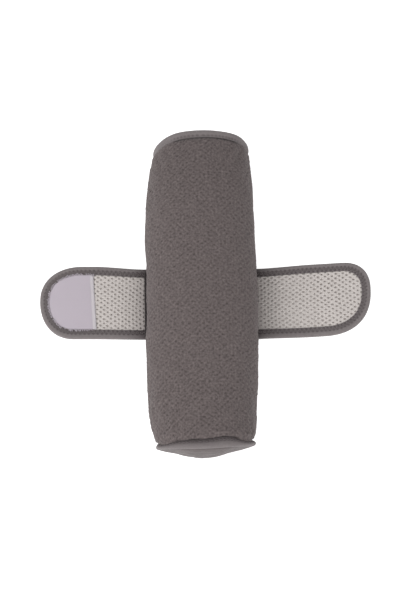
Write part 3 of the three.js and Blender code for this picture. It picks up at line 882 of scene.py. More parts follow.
def on_strap(x, y):
    """Lays a point of the straight strap down: narrower at the pad, along the tabs' centre lines."""
    past = x - RISE_START
    slant = math.tan(RIGHT_TAB_RISE) * (past + np.hypot(past, RISE_EASE)) / 2
    lift = LEFT_TAB_LIFT * ease((-x - TAB_START) / tab_ease(LEFT_TIP))
    widening = np.where(x < 0, tab_ease(LEFT_TIP), tab_ease(RIGHT_TIP))
    narrow = 1 - ease((np.abs(x) - TAB_START) / widening)
    across = y * (1 - STRAP_WAIST * narrow / (STRAP_WIDTH / 2))
    return x, across + slant + lift - STRAP_BELOW_MIDDLE


def edge_at(x, upper, inset):
    """The straight strap's edge at x, drawn in by an inset: level, then a superellipse at the tip."""
    x = np.asarray(x, float)
    result = np.empty(x.shape)
    for tip in (LEFT_TIP, RIGHT_TIP):
        long = tip["upper"] if upper else tip["lower"]
        wide = STRAP_WIDTH / 2 - tip["lift"] if upper else STRAP_WIDTH / 2 + tip["lift"]
        past = np.clip((tip["side"] * x - tip["reach"] + long) / (long - inset), 0, 1)
        round_part = (1 - past ** tip["fullness"]) ** (1 / tip["fullness"])
        y = tip["lift"] + (1 if upper else -1) * (wide - inset) * round_part
        here = tip["side"] * x >= 0
        result = np.where(here, y, result)
    return result


def outline_xy(inset):
    """The whole outline, anticlockwise, as a closed line of 6,000 points that starts under the pad.
    Lines at different insets pair up point by point."""
    lines = []
    for tip in (RIGHT_TIP, LEFT_TIP):
        angle = np.linspace(-np.pi / 2, np.pi / 2, 1401)
        long = np.where(angle < 0, tip["lower"], tip["upper"])
        wide = STRAP_WIDTH / 2 + np.where(angle < 0, tip["lift"], -tip["lift"])
        x = tip["reach"] - long + (long - inset) * power(np.cos(angle), 2 / tip["fullness"])
        y = tip["lift"] + (wide - inset) * power(np.sin(angle), 2 / tip["fullness"])
        lines.append((tip["side"] * x, y))
    (rx, ry), (lx, ly) = lines
    top = np.linspace(rx[-1], lx[-1], 1601)[1:-1]
    low = np.linspace(lx[0], rx[0], 1601)[1:-1]
    edge = STRAP_WIDTH / 2 - inset
    x = np.concatenate([low[800:], rx, top, lx[::-1], low[:800]])
    y = np.concatenate([np.full(799, -edge), ry, np.full(1599, edge), ly[::-1], np.full(800, -edge)])
    x, y = on_strap(x, y)
    return np.stack([x, y], -1)


OUTLINE = outline_xy(0.0)
OUTLINE_RUN = lengths_along(np.concatenate([OUTLINE, OUTLINE[:1]]))
print("strap outline", round(float(OUTLINE_RUN[-1]), 1), "mm round")


def outline_places(step):
    """Point numbers of the outline that lie `step` apart along the strap's edge, evenly all round."""
    count = int(round(OUTLINE_RUN[-1] / step))
    return np.searchsorted(OUTLINE_RUN[:-1], np.arange(count) * OUTLINE_RUN[-1] / count)


def outline_frame(places, inset):
    """Points at an inset from the edge, and there the directions along the edge and away from it."""
    line = outline_xy(inset)
    along = np.roll(line, -3, axis=0) - np.roll(line, 3, axis=0)
    along = along / np.linalg.norm(along, axis=1, keepdims=True)
    inward = np.stack([-along[:, 1], along[:, 0]], -1)
    return line[places], along[places], inward[places]


# %% [markdown]
# ## The strap's open mesh
#
# The face of the strap is an open mesh: a staggered pattern of small oval holes with thick rounded
# cords of yarn between them. A picture of holes would be flat when seen from the side, so every hole
# is real and the knit behind shows through. The plane is tiled with the six-sided cells of a centred
# lattice, and in each cell rings of points run from the cell's border over the yarn's crown, down
# the rounded lip and through to the underside.
# Neighbouring cells share their border points, which makes one sheet of them. Its ragged edge hides
# inside the edge tape, as the cut edge of the real one does.

# %% Open mesh
CELL = np.array([6.3, 4.2])  # pitch across the strap's length and its width
HOLE = np.array([1.3, 0.9])  # half sizes of an opening at its lip; it narrows below
wander_x = waves(51, turns=0.1)
wander_y = waves(52, turns=0.1)
soft_level = waves(53, turns=0.07)


def loop_seam_x(y):
    """Where the stitches that hold the loop patch cross the right tab; the line leans a little."""
    return LOOP_EDGE - 2.4 - 0.045 * y


def cell_border():
    """Border points of one cell, in cell units: a hexagon whose corners touch six neighbours."""
    half = CELL / 2
    slope = (half[1] ** 2 / half[0] ** 2 + 1) / 2
    corner_x = half[0] * slope
    flat = half[0] - corner_x
    corners = np.array([
        [corner_x, 0.0],
        [flat, half[1]],
        [-flat, half[1]],
        [-corner_x, 0.0],
        [-flat, -half[1]],
        [flat, -half[1]],
    ])
    after = np.roll(corners, -1, axis=0)
    return np.stack([corners, (corners + after) / 2], 1).reshape(-1, 2)


def open_mesh_points(centres, border):
    """Rings of every cell: (cells, rings, points, 3), and how far down in the hole each ring lies. The
    first ring is the shared border on top; no two holes are quite the same size."""
    angle = np.arctan2(border[:, 1] / HOLE[1], border[:, 0] / HOLE[0])
    lip = np.stack([np.cos(angle), np.sin(angle)], -1) * HOLE
    rings = [
        (border, MESH_TOP - 0.14, 0.0),
        (mix(border, lip, 0.45), MESH_TOP, 0.0),
        (mix(border, lip, 0.8), MESH_TOP - 0.08, 0.0),
        (lip, MESH_TOP - 0.26, 0.15),
        (lip * 0.78, MESH_TOP - 0.5, 0.6),
        (lip * 0.62, MESH_Z + 0.3, 1.0),
        (mix(border, lip, 0.7), MESH_Z, 0.6),
        (border, MESH_Z, 0.0),
    ]
    number = np.arange(len(centres))
    size = 0.82 + 0.36 * scatter(number, number * 0 + 3, 5)
    stretch = np.ones((len(centres), len(rings), 1, 1))
    stretch[:, 3:6] = size[:, None, None, None]
    xy = np.stack([ring for ring, _, _ in rings])[None] * stretch
    nudge = np.stack([scatter(number, number * 0 + k, 6) - 0.5 for k in (1, 2)], -1) * [0.7, 0.45]
    xy[:, 2:7] += nudge[:, None, None, :]
    xy = xy + centres[:, None, None, :]
    z = np.broadcast_to(np.array([z for _, z, _ in rings])[None, :, None, None], (*xy.shape[:3], 1))
    down = np.broadcast_to(np.array([d for _, _, d in rings])[None, :, None], xy.shape[:3])
    return np.concatenate([xy, z], -1), down


def painted_root_shade(x):
    """Painted shade on the strap beside the pad, where the pad's bulge shades it: 0.8 at the pad's
    edge, falling to nothing about 20 mm further out."""
    return 0.8 * np.exp(-((np.clip(np.abs(x + 1) - 47, 0, None) / np.where(x < 0, 9, 6)) ** 1.3))


def mesh_centres():
    """Middles of all the cells that lie well inside the edge tape."""
    i, j = (a.ravel() for a in np.meshgrid(np.arange(-60, 61), np.arange(-22, 23), indexing="ij"))
    keep = (i + j) % 2 == 0
    centres = np.stack([i[keep] * CELL[0] / 2, j[keep] * CELL[1] / 2], -1)
    x, y = centres.T
    along = (x > -LEFT_REACH + 5.2) & (x < RIGHT_REACH - 5.2)
    across = (y < edge_at(x, True, 4.6)) & (y > edge_at(x, False, 4.6))
    return centres[along & across]


def edge_walls(flat, faces):
    """Faces that join the ragged edge of the mesh's top to the underside's edge straight below it."""
    edges = np.concatenate([faces[:, [k, (k + 1) % 4]] for k in range(4)])
    ordered = np.sort(edges, axis=1)
    _, place, uses = np.unique(ordered, axis=0, return_index=True, return_counts=True)
    open_edges = edges[place[uses == 1]]
    top_edges = open_edges[flat[open_edges[:, 0], 2] > MESH_Z + 0.5]
    below = {tuple(np.round(p[:2], 3)): k for k, p in enumerate(flat) if p[2] < MESH_Z + 0.01}
    under = np.array([[below[tuple(np.round(flat[k][:2], 3))] for k in edge] for edge in top_edges])
    return np.stack([top_edges[:, 1], top_edges[:, 0], under[:, 0], under[:, 1]], -1)


# %% Build the mesh
def strap_mesh_piece():
    """The cells as one closed sheet: shared border points are merged, and the edge gets its walls."""
    points, down = open_mesh_points(mesh_centres(), cell_border())
    cells, rings, around = points.shape[:3]
    flat, down = points.reshape(-1, 3), down.ravel()
    faces = repeated(grid_faces(rings, around, wrap_columns=True), cells, rings * around)
    keys = np.round(flat, 3)
    _, first, merged = np.unique(keys, axis=0, return_index=True, return_inverse=True)
    flat, down, faces = flat[first], down[first], merged.reshape(-1)[faces]
    walls = edge_walls(flat, faces)
    x, y = flat[:, 0], flat[:, 1]
    uv = flat[:, :2].copy()
    moved_x = x + 0.35 * wander_x(x, y)
    moved_y = y + 0.3 * wander_y(x, y)
    laid_x, laid_y = on_strap(moved_x, moved_y)
    level = 0.12 * soft_level(x, y)
    past_seam = x - loop_seam_x(y)
    seam = np.exp(-((past_seam / 0.9) ** 2))
    top_share = np.clip((flat[:, 2] - MESH_Z) / (MESH_TOP - MESH_Z), 0, 1)
    z = flat[:, 2] + (level - 0.4 * seam + 0.2 * ease(past_seam / 3)) * top_share
    laid = np.stack([laid_x, laid_y, z], -1)
    print("openings in the strap's mesh:", cells)
    # Painted shade: darker down in the holes, and beside the pad.
    return make_piece("strap_face_mesh", laid, [faces, walls], uv=uv, hollow=0.25 * down + painted_root_shade(x))


strap_face = strap_mesh_piece()

# %% [markdown]
# ## The strap's backing
#
# Behind the open mesh lies a plain knit: pale on the side that shows through the holes, dark on the
# side that the belt touches. It is a thin closed sheet; a single surface would have no thickness.


# %% Flat layers between two edges
def laid_grid(x, share, inset, z):
    """Points between the strap's lower and upper edge at each x, laid down, and their flat places."""
    y = mix(edge_at(x, False, inset), edge_at(x, True, inset), share)
    laid_x, laid_y = on_strap(x, y)
    level = z(x, y) if callable(z) else np.full(x.shape, float(z))
    return np.stack([laid_x, laid_y, level], -1), np.stack([x, y], -1)


def layer_grid(start, stop, inset, z, columns, rows):
    """A grid along the whole strap, whose stations crowd towards both tips."""
    s = 0.5 - 0.5 * np.cos(np.pi * np.linspace(0, 1, columns))
    share = np.linspace(0, 1, rows)[None, :]
    x = mix(start, stop, s)[:, None] * np.ones_like(share)
    return laid_grid(x, share, inset, z)


def backing_piece():
    """A thin closed sheet inside the tape, with the slightest unevenness on its outer face."""
    edge = 1.3
    ends = (-LEFT_REACH + edge + 0.01, RIGHT_REACH - edge - 0.01)
    upper, uv = layer_grid(*ends, edge, BACKING_TOP, 220, 40)
    lower, _ = layer_grid(*ends, edge, lambda x, y: BACKING_Z + 0.1 * soft_level(x * 2, y * 2), 220, 40)
    towards_mesh = (np.ones(uv.shape[:2]), np.zeros(uv.shape[:2]))
    return sheet_mesh("strap_back_knit", upper, lower, uv, towards_mesh)


strap_back = backing_piece()

# %% [markdown]
# ## The strap's edge tape
#
# A folded tape runs all round the strap, eight millimetres wide on both faces. The profile is a long
# U seen end on. Two rows of needle holes dimple it, and outside them the tape puffs up a little over
# the edges that it holds. A bevelled curve could carry the profile too, but it pinches at the tips;
# here each point of the profile follows an outline of its own.

# %% Edge tape
ZIGZAG = (3.9, 6.7)  # insets of the two rows of needle holes
tape_soft = waves(61, turns=0.12)
tape_fold = waves(62, turns=0.45)


def needle_dimples(around, inset):
    """Dimples at the needle holes, 0 to 1: one bell per stitch and row, the rows half a pitch apart."""
    total = 0.0
    for row, shift in zip(ZIGZAG, (0.0, 0.5)):
        away = (np.mod(around / STITCH_PITCH + shift + 0.5, 1) - 0.5) * STITCH_PITCH
        total = total + np.exp(-((away / 0.8) ** 2) - ((inset - row) / 0.75) ** 2)
    return total


def strap_tape_piece():
    """The profile is given as inset from the strap's edge and height, and carried round the outline."""
    height, width, thick = STRAP_TOP, TAPE_WIDTH, 0.75
    outline = [(width, 0.0), (0.0, 0.0), (0.0, height), (width, height), (width, height - thick)]
    outline += [(thick, height - thick), (thick, thick), (width, thick)]
    profile = refine(rounded_profile(outline, 1.4, 6), 0.6)
    places = outline_places(0.72)
    lines = np.stack([outline_xy(inset)[places] for inset in profile[:, 0]], 1)
    around = OUTLINE_RUN[places][:, None]
    inset, z = profile[:, 0][None, :], profile[:, 1][None, :]
    face = np.where(z > height - 0.5, 1.0, np.where(z < 0.5, -1.0, 0.0)) * (inset > 0.8)
    crown = 0.3 * np.sin(np.pi * np.clip(inset / 5.2, 0, 1)) - 0.3 * ease((inset - 2.6) / 2.2)
    soft = 0.14 * tape_soft(around, inset) + 0.07 * tape_fold(around, inset * 0.8)
    dimple = needle_dimples(around, inset)
    lift = crown + soft * ease(inset / 2) - 0.22 * dimple
    lift = np.where(face > 0, lift, 0.1 * soft - 0.12 * dimple)
    lift = np.where(face < 0, -np.clip(lift, -0.3, 0.0), lift * face)
    grid = np.concatenate([lines, (z + lift)[..., None] * np.ones((len(lines), 1, 1))], -1)
    uv = np.stack(np.broadcast_arrays(around, inset), -1)
    # Painted shade in the needle dimples and on the tape's lower inner half.
    hollow = (0.75 * dimple + 0.3 * ease((inset - 2.6) / 2)) * (face != 0)
    # Painted shade on the tape beside the pad, where the pad's bulge shades it.
    hollow = hollow + 1.1 * painted_root_shade(lines[..., 0])
    faces = grid_faces(*grid.shape[:2], wrap_rows=True, wrap_columns=True)
    points, uv = grid.reshape(-1, 3), uv.reshape(-1, 2)
    return make_piece("strap_edge_tape", points, [faces], uv=uv, hollow=hollow)


strap_tape = strap_tape_piece()

# %% [markdown]
# ## Hook and loop
#
# The left tab's tip carries a patch of hook tape on its front: a woven ground with hundreds of fine
# hooks, and a bare selvage along its straight edge. The right tab's tip carries the loop side on its
# back, a low brushed pile. Both are grids that fill a tip inside the tape. Their heights come from a
# function of the place, because a cut-out slab would have sharp, even edges.

# %% Patches
ground_soft = waves(71, turns=0.3)


def patch_grid(tip, edge_x, slant, inset, z, rows=64, columns=52):
    """A grid that fills a tab's tip inside the tape, up to a straight edge across the tab that leans
    by the slant each way. Rows run across the tab, and stations crowd towards the rounded end."""
    share = np.linspace(0, 1, rows)[None, :]
    t = np.sin(np.linspace(0, np.pi / 2, columns))[:, None]
    reach = tip["reach"] - inset - 0.01
    start = edge_x + slant * (2 * share - 1)
    x = tip["side"] * mix(start, reach, t)
    return laid_grid(x, share, inset, z)


def hook_edge_x(y):
    """Where the hook patch's straight edge crosses the left tab; it leans a little."""
    return HOOK_EDGE + PATCH_SLANT * y / 25


def hook_patch_piece():
    """The ground of the hook tape: a closed sheet with rounded edges, thinner along the selvage."""
    def top(x, y):
        from_edge = -x - hook_edge_x(y)
        selvage = 3.98 + 0.57 * ease(from_edge / 2.0)
        return selvage + 0.25 * ease((from_edge - 2.4) / 0.9) + 0.04 * ground_soft(x, y)

    upper, uv = patch_grid(LEFT_TIP, HOOK_EDGE, PATCH_SLANT, TAPE_WIDTH + 0.2, top)
    lower, _ = patch_grid(LEFT_TIP, HOOK_EDGE, PATCH_SLANT, TAPE_WIDTH + 0.2, 3.75)
    from_edge = -uv[..., 0] - hook_edge_x(uv[..., 1])
    return sheet_mesh("hook_tape", upper, lower, uv, ease((from_edge - 2.6) / 0.4))


def loop_patch_piece():
    """The loop tape under the right tab's tip, with an uneven brushed face."""
    def pile(x, y):
        return 0.12 + 0.1 * fine_crease(x * 2.4, y * 2.4)

    upper, uv = patch_grid(RIGHT_TIP, LOOP_EDGE, 0.0, TAPE_WIDTH + 0.2, 0.75)
    lower, _ = patch_grid(RIGHT_TIP, LOOP_EDGE, 0.0, TAPE_WIDTH + 0.2, pile)
    return sheet_mesh("loop_tape", upper, lower, uv)


hook_ground = hook_patch_piece()
loop_ground = loop_patch_piece()

# %% [markdown]
# ## Hooks
#
# The hook field is a fine grid of bent filaments, about a thousand. Each is a bent three-sided spike:
# it rises, leans over and points back down. They stand in staggered rows and lean to one side or the
# other, with a little freedom. Hair particles could draw them, but they would not be in the mesh.


# %% Hooks
HOOK_PITCH = (1.35, 1.15)
HOOK_PATH = np.array([[0.0, -0.1], [0.0, 0.35], [0.2, 0.52], [0.36, 0.38]])  # mm ahead and up
HOOK_RADIUS = np.array([0.11, 0.1, 0.09, 0.03])
HOOK_FOOT = 4.8  # mm above the floor


def hooks_piece():
    """Spikes along the hook path, each in an upright plane of its own."""
    i, j = np.meshgrid(np.arange(-110, -65), np.arange(-30, 31), indexing="ij")
    x = (i + 0.5 * (j % 2)).ravel() * HOOK_PITCH[0]
    y = j.ravel() * HOOK_PITCH[1]
    inset = TAPE_WIDTH + 0.5
    inside = (x > -LEFT_REACH + inset + 0.05) & (x < -hook_edge_x(y) - 3.2)
    inside &= (y < edge_at(x, True, inset)) & (y > edge_at(x, False, inset))
    x, y = x[inside], y[inside]
    number = np.arange(len(x))
    lean = 0.5 * (scatter(number, number * 0, 8) - 0.5) + np.pi * (scatter(number, number * 0, 9) > 0.5)
    turn = np.arange(3) * 2 * np.pi / 3
    forward = np.stack([np.cos(lean), np.sin(lean), 0 * lean], -1)
    sideways = np.stack([-np.sin(lean), np.cos(lean), 0 * lean], -1)
    laid = np.stack([*on_strap(x, y), np.full(len(x), HOOK_FOOT)], -1)
    ahead = HOOK_PATH[:, 0][None, :, None] + (HOOK_RADIUS[:, None] * np.cos(turn)[None, :])[None]
    beside = (HOOK_RADIUS[:, None] * np.sin(turn)[None, :])[None] * np.ones((len(x), 1, 1))
    points = laid[:, None, None, :] + ahead[..., None] * forward[:, None, None, :]
    points = points + beside[..., None] * sideways[:, None, None, :]
    points[..., 2] += HOOK_PATH[:, 1][None, :, None]
    rings, around = points.shape[1:3]
    quads = repeated(grid_faces(rings, around, wrap_columns=True), len(x), rings * around)
    caps = repeated(np.array([[2, 1, 0], [9, 10, 11]]), len(x), rings * around)
    flat = points.reshape(-1, 3)
    print("hooks:", len(x))
    return make_piece("hook_filaments", flat, [quads, caps], uv=flat[:, :2], hollow=np.ones(len(flat)))


hooks = hooks_piece()

# %% [markdown]
# ## Thread
#
# A zigzag stitch holds the strap's tape on both faces. A plain one closes the end seams and the side
# seams, holds the loop patch, and sews the strap to the pad's back. Two short rows are darker: one
# closes the near end's panel, and the other is a painted shadow, a row of wide dark stitches along the
# pad's left side where it meets the strap. A texture could show thread from afar; up close it needs
# form, so each stitch is a short spindle whose ends sink into its needle holes.


# %% Stitches
def spindles(centres, along, out, length, width, height):
    """Spindles of thread: five rings of six points, narrowing to both ends, which dip into the cloth."""
    centres, along, out = (np.asarray(a, float) for a in (centres, along, out))
    across = np.cross(along, out)
    at = np.array([-0.5, -0.36, 0.0, 0.36, 0.5])
    full = np.array([0.12, 0.85, 1.0, 0.85, 0.12])
    dip = np.array([-0.9, 0.0, 0.3, 0.0, -0.9]) * height
    turn = np.arange(6) * np.pi / 3
    times = len(centres)
    centres, along, across, out = (a[:, None, None, :] for a in (centres, along, across, out))
    ahead = (at[None, :] * np.broadcast_to(length, times)[:, None])[..., None, None]
    beside = (full[:, None] * np.cos(turn))[None, ..., None] * (width / 2)
    rise = (dip[:, None] + full[:, None] * np.sin(turn)[None, :] * (height / 2))[None, ..., None]
    points = centres + ahead * along + beside * across + rise * out
    quads = repeated(grid_faces(5, 6, wrap_columns=True), times, 30)
    ends = np.array([[0, 3, 2, 1], [0, 5, 4, 3], [24, 25, 26, 27], [24, 27, 28, 29]])
    return points.reshape(-1, 3), np.concatenate([quads, repeated(ends, times, 30)])


def headings(line):
    """Unit directions along a line of points."""
    along = np.gradient(line, axis=0)
    return along / np.linalg.norm(along, axis=1, keepdims=True)


def join(parts):
    """One set of points and faces from several."""
    points, faces, first = [], [], 0
    for some_points, some_faces in parts:
        points.append(some_points)
        faces.append(some_faces + first)
        first += len(some_points)
    return np.concatenate(points), np.concatenate(faces)


def zigzag_parts():
    """The zigzag on both faces of the strap's tape: one leg from each needle hole to the next."""
    holes = int(round(OUTLINE_RUN[-1] / STITCH_PITCH)) * 2
    places = np.searchsorted(OUTLINE_RUN[:-1], np.arange(holes) * OUTLINE_RUN[-1] / holes)
    first = outline_xy(ZIGZAG[0])[places]
    second = outline_xy(ZIGZAG[1])[places]
    spots = np.where((np.arange(holes) % 2 == 0)[:, None], first, second)
    leg = np.roll(spots, -1, axis=0) - spots
    middle = spots + leg / 2
    long = np.linalg.norm(leg, axis=1)
    along = np.concatenate([leg / long[:, None], np.zeros((holes, 1))], 1)
    parts = []
    for level, up in ((STRAP_TOP + 0.02, 1.0), (0.09, -1.0)):
        centres = np.concatenate([middle, np.full((holes, 1), level)], 1)
        out = np.tile([0.0, 0.0, up], (holes, 1))
        parts.append(spindles(centres, along, out, long * 0.95, 0.5, 0.26 if up > 0 else 0.12))
    return parts


def skin_frame(y, angle):
    """A point of the skin at each place, with the directions round the pad, along it and outwards."""
    here = skin(y, angle)
    round_it = skin(y, angle + 0.01) - here
    along_it = skin(y + 0.1, angle) - here
    round_it /= np.linalg.norm(round_it, axis=-1, keepdims=True)
    along_it /= np.linalg.norm(along_it, axis=-1, keepdims=True)
    out = np.cross(along_it, round_it)
    return here, round_it, along_it, out / np.linalg.norm(out, axis=-1, keepdims=True)


def end_seam_parts(side):
    """Stitches round one end tape, near its inner edge."""
    angles, _ = even_angles(-90, 270, STITCH_PITCH)
    angles = angles[:-1]
    past = 1.7 + seam_line(side, angles) * (1 - 1.7 / END_TAPE_WIDTH)
    here, round_it, _, out = skin_frame(side * (SEAM_Y + past), angles)
    return spindles(here - 0.12 * out, round_it, out, 2.9, 0.5, 0.3)


def side_seam_parts():
    """Stitches along both side seams, on the back panel's edge."""
    parts = []
    for degrees in (180 + SIDE_SEAM_ANGLE + 4.5, 360 - SIDE_SEAM_ANGLE - 4.5):
        y = np.arange(-SEAM_Y + 6, SEAM_Y - 5, 3.6)
        here, _, along_it, out = skin_frame(y, np.full(len(y), math.radians(degrees)))
        parts.append(spindles(here - 0.75 * out, along_it, out, 2.7, 0.5, 0.35))
    return parts


def flat_line_parts(start, stop, level, up, pitch=3.4, width=0.5, height=0.3):
    """Stitches along a straight line of the strap, on a level face."""
    start, stop = np.array(start, float), np.array(stop, float)
    count = int(np.linalg.norm(stop - start) / pitch)
    share = (np.arange(count) + 0.5) / count
    spots = start + (stop - start) * share[:, None]
    spots = np.stack(on_strap(spots[:, 0], spots[:, 1]), -1)
    centres = np.concatenate([spots, np.full((count, 1), level)], 1)
    along = np.concatenate([headings(spots), np.zeros((count, 1))], 1)
    return spindles(centres, along, np.tile([0.0, 0.0, up], (count, 1)), pitch * 0.76, width, height)


def box_parts():
    """The stitched box and its cross under the pad, where the strap is sewn to the back panel."""
    box = [(-30, -19), (30, -19), (30, 19), (-30, 19)]
    sides = [flat_line_parts(a, b, BACKING_Z - 0.02, -1.0) for a, b in zip(box, box[1:] + box[:1])]
    return sides + [flat_line_parts(box[0], box[2], BACKING_Z - 0.1, -1.0)]


tape_points, tape_faces = join([*zigzag_parts(), end_seam_parts(1), end_seam_parts(-1)])
tape_thread = make_piece("tape_stitches", tape_points, [tape_faces], uv=tape_points[:, :2])
back_points, back_faces = join([*side_seam_parts(), *box_parts()])
back_thread = make_piece("back_stitches", back_points, [back_faces], uv=back_points[:, :2])
seam_ends = (loop_seam_x(-25), -25), (loop_seam_x(25), 25)
seam_points, seam_faces = flat_line_parts(*seam_ends, MESH_TOP - 0.35, 1.0, pitch=2.8)
loop_thread = make_piece("loop_seam_stitches", seam_points, [seam_faces], uv=seam_points[:, :2])


# %% The two dark rows: the rim row and a painted shadow
RIM_ROW = (-78, -34, 11)  # from and to in degrees, and the number of stitches
RIM_ROW_SHARE = 0.93
ROOT_SHADOW_ROW = (-33.2, 26.5, 2.6)  # from, to and pitch along the pad, in mm


def rim_row_piece():
    """A short row of dark stitches where the near end's panel was closed last, low on its right."""
    angles = np.radians(np.linspace(*RIM_ROW))
    share = RIM_ROW_SHARE
    past = 1 + PANEL_RIM + (PANEL_DOME - PANEL_RIM) * math.sqrt(1 - share**2.6)
    past = past - rim_draw(-1, angles) * share**3 - panel_drop(-1, angles, share)
    here = skin(-(SEAM_Y + past), angles, PANEL_INSET, share)
    out = np.tile([0.0, -0.94, -0.34], (len(here), 1))
    points, faces = spindles(here, headings(here), out, 2.2, 0.7, 0.5)
    return make_piece("rim_stitches", points, [faces], uv=points[:, [0, 2]], hollow=np.ones(len(points)))


rim_thread = rim_row_piece()


def root_shadow_piece():
    """A painted shadow along the pad's left side, where it meets the strap: a close row of wide dark
    stitches.
    """
    y = np.arange(*ROOT_SHADOW_ROW)
    edge = skin(y, np.full(len(y), np.pi))
    here = np.stack([edge[:, 0] - 0.8, edge[:, 1], np.full(len(y), STRAP_TOP + 0.5)], -1)
    out = np.tile([0.0, 0.0, 1.0], (len(here), 1))
    points, faces = spindles(here, headings(here), out, 3.4, 2.2, 1.2)
    return make_piece("root_shadow_stitches", points, [faces], uv=points[:, :2], hollow=np.ones(len(points)))


# A dark strip that paints the shadow at the pad's left side.
root_shadow = root_shadow_piece()


# %% [markdown]
# ## Loose filaments
#
# Where the zigzag pins the hook patch down, its hooks poke out over the edge of the tape, so the
# patch has a frayed border. The spindles that stand for stitches serve here again, each tuft with a
# length and a lean of its own.


# %% Frayed border
FRAY_PITCH = 1.6
FRAY_INSET = TAPE_WIDTH - 0.4
FRAY_MISSING = 0.15  # share of the tufts that are left out
FRAY_LEVEL = 4.92


def fray_piece():
    """Tufts across the tape's inner edge, round the hook patch only, each with its own lean."""
    places = outline_places(FRAY_PITCH)
    spots, along, inward = outline_frame(places, FRAY_INSET)
    kept = scatter(np.arange(len(spots)), np.zeros(len(spots)), 18) > FRAY_MISSING
    around_hooks = (spots[:, 0] < -HOOK_EDGE - 1.5) & kept
    spots, along, inward = spots[around_hooks], along[around_hooks], inward[around_hooks]
    number = np.arange(len(spots))
    lean = 1.1 * (scatter(number, number * 0, 15) - 0.5)[:, None]
    heading = inward + lean * along
    heading /= np.linalg.norm(heading, axis=1, keepdims=True)
    length = 1.6 + 1.8 * scatter(number, number * 0, 16)
    jitter = 0.9 * (scatter(number, number * 0, 17) - 0.5)[:, None]
    centres = np.concatenate([spots + jitter * inward, np.full((len(spots), 1), FRAY_LEVEL)], 1)
    heading = np.concatenate([heading, np.zeros((len(spots), 1))], 1)
    up = np.tile([0.0, 0.0, 1.0], (len(spots), 1))
    points, faces = spindles(centres, heading, up, length, 0.7, 0.5)
    return make_piece("hook_fray", points, [faces], uv=points[:, :2], hollow=np.ones(len(points)))


fray = fray_piece()

# %% [markdown]
# ## Finishes
#
# Four effects serve every cloth here, so each is a node group with named inputs: a fine knit grain, a
# slow mottling of the colour, a painted shade for hollow places (a second colour on a few pieces), and
# the light and dark flecks of single yarns.
# They could be copied into each material, but then a change would have to be made eight times. The
# shaders themselves stay in the materials.


# %% Node helpers
def new_group(name, inputs, outputs):
    """An empty shader node group with named sockets; returns it with its input and output node."""
    group = bpy.data.node_groups.new(name, "ShaderNodeTree")
    for label, kind, value in inputs:
        socket = group.interface.new_socket(label, in_out="INPUT", socket_type=kind)
        if value is not None:
            socket.default_value = value
    for label, kind in outputs:
        group.interface.new_socket(label, in_out="OUTPUT", socket_type=kind)
    return group, group.nodes.new("NodeGroupInput"), group.nodes.new("NodeGroupOutput")


def plug(tree, value, socket):
    """Feeds a socket: with a link from another socket, or with a plain value."""
    if isinstance(value, bpy.types.NodeSocket):
        tree.links.new(value, socket)
    elif value is not None:
        socket.default_value = value


def math_node(tree, operation, first, second, clamp=False):
    """A Math node whose inputs are numbers or sockets; returns its output."""
    node = tree.nodes.new("ShaderNodeMath")
    node.operation = operation
    node.use_clamp = clamp
    for socket, value in zip(node.inputs, (first, second)):
        plug(tree, value, socket)
    return node.outputs[0]


def noise_node(tree, place, scale, detail):
    """A Noise texture at a place; returns its value, which lies round 0.5."""
    noise = tree.nodes.new("ShaderNodeTexNoise")
    noise.inputs["Detail"].default_value = detail
    plug(tree, scale, noise.inputs["Scale"])
    plug(tree, place, noise.inputs["Vector"])
    return noise.outputs["Fac"]


def colour_mix(tree, share, first, second):
    """A Mix node for colours: the first where the share is 0, the second where it is 1."""
    node = tree.nodes.new("ShaderNodeMix")
    node.data_type = "RGBA"
    plug(tree, share, node.inputs["Factor"])
    plug(tree, first, node.inputs["A"])
    plug(tree, second, node.inputs["B"])
    return node.outputs["Result"]


# %% Knit grain
def knit_grain_group():
    """Fine ribs of knitting: two crossed waves of the given pitch, broken up by a small noise."""
    group, source, sink = new_group(
        "knit_grain",
        [
            ("Place", "NodeSocketVector", None),
            ("Ribs per mm", "NodeSocketFloat", 1.2),
            ("Break-up", "NodeSocketFloat", 0.4),
        ],
        [("Height", "NodeSocketFloat"), ("Shade", "NodeSocketFloat")],
    )
    split = group.nodes.new("ShaderNodeSeparateXYZ")
    group.links.new(source.outputs["Place"], split.inputs[0])
    speed = math_node(group, "MULTIPLY", source.outputs["Ribs per mm"], 2 * math.pi)
    ribs = math_node(group, "SINE", math_node(group, "MULTIPLY", split.outputs[0], speed), None)
    courses = math_node(group, "SINE", math_node(group, "MULTIPLY", split.outputs[1], speed), None)
    weave = math_node(group, "MULTIPLY", ribs, courses)
    noise = noise_node(group, source.outputs["Place"], 1.6, 3.0)
    rough = math_node(group, "MULTIPLY", noise, source.outputs["Break-up"])
    height = math_node(group, "ADD", math_node(group, "MULTIPLY", weave, 0.25), rough)
    shade = math_node(group, "ADD", math_node(group, "MULTIPLY", weave, 0.5), 0.5)
    group.links.new(height, sink.inputs["Height"])
    group.links.new(shade, sink.inputs["Shade"])
    return group


# %% Mottle
def mottle_group():
    """Slow uneven patches: noise in millimetres, spread round 0.5 by the given strength."""
    group, source, sink = new_group(
        "mottle",
        [
            ("Place", "NodeSocketVector", None),
            ("Per mm", "NodeSocketFloat", 0.08),
            ("Strength", "NodeSocketFloat", 0.5),
        ],
        [("Share", "NodeSocketFloat")],
    )
    noise = noise_node(group, source.outputs["Place"], source.outputs["Per mm"], 4.0)
    centred = math_node(group, "SUBTRACT", noise, 0.5)
    spread = math_node(group, "MULTIPLY", centred, source.outputs["Strength"])
    group.links.new(math_node(group, "ADD", spread, 0.5, clamp=True), sink.inputs["Share"])
    return group


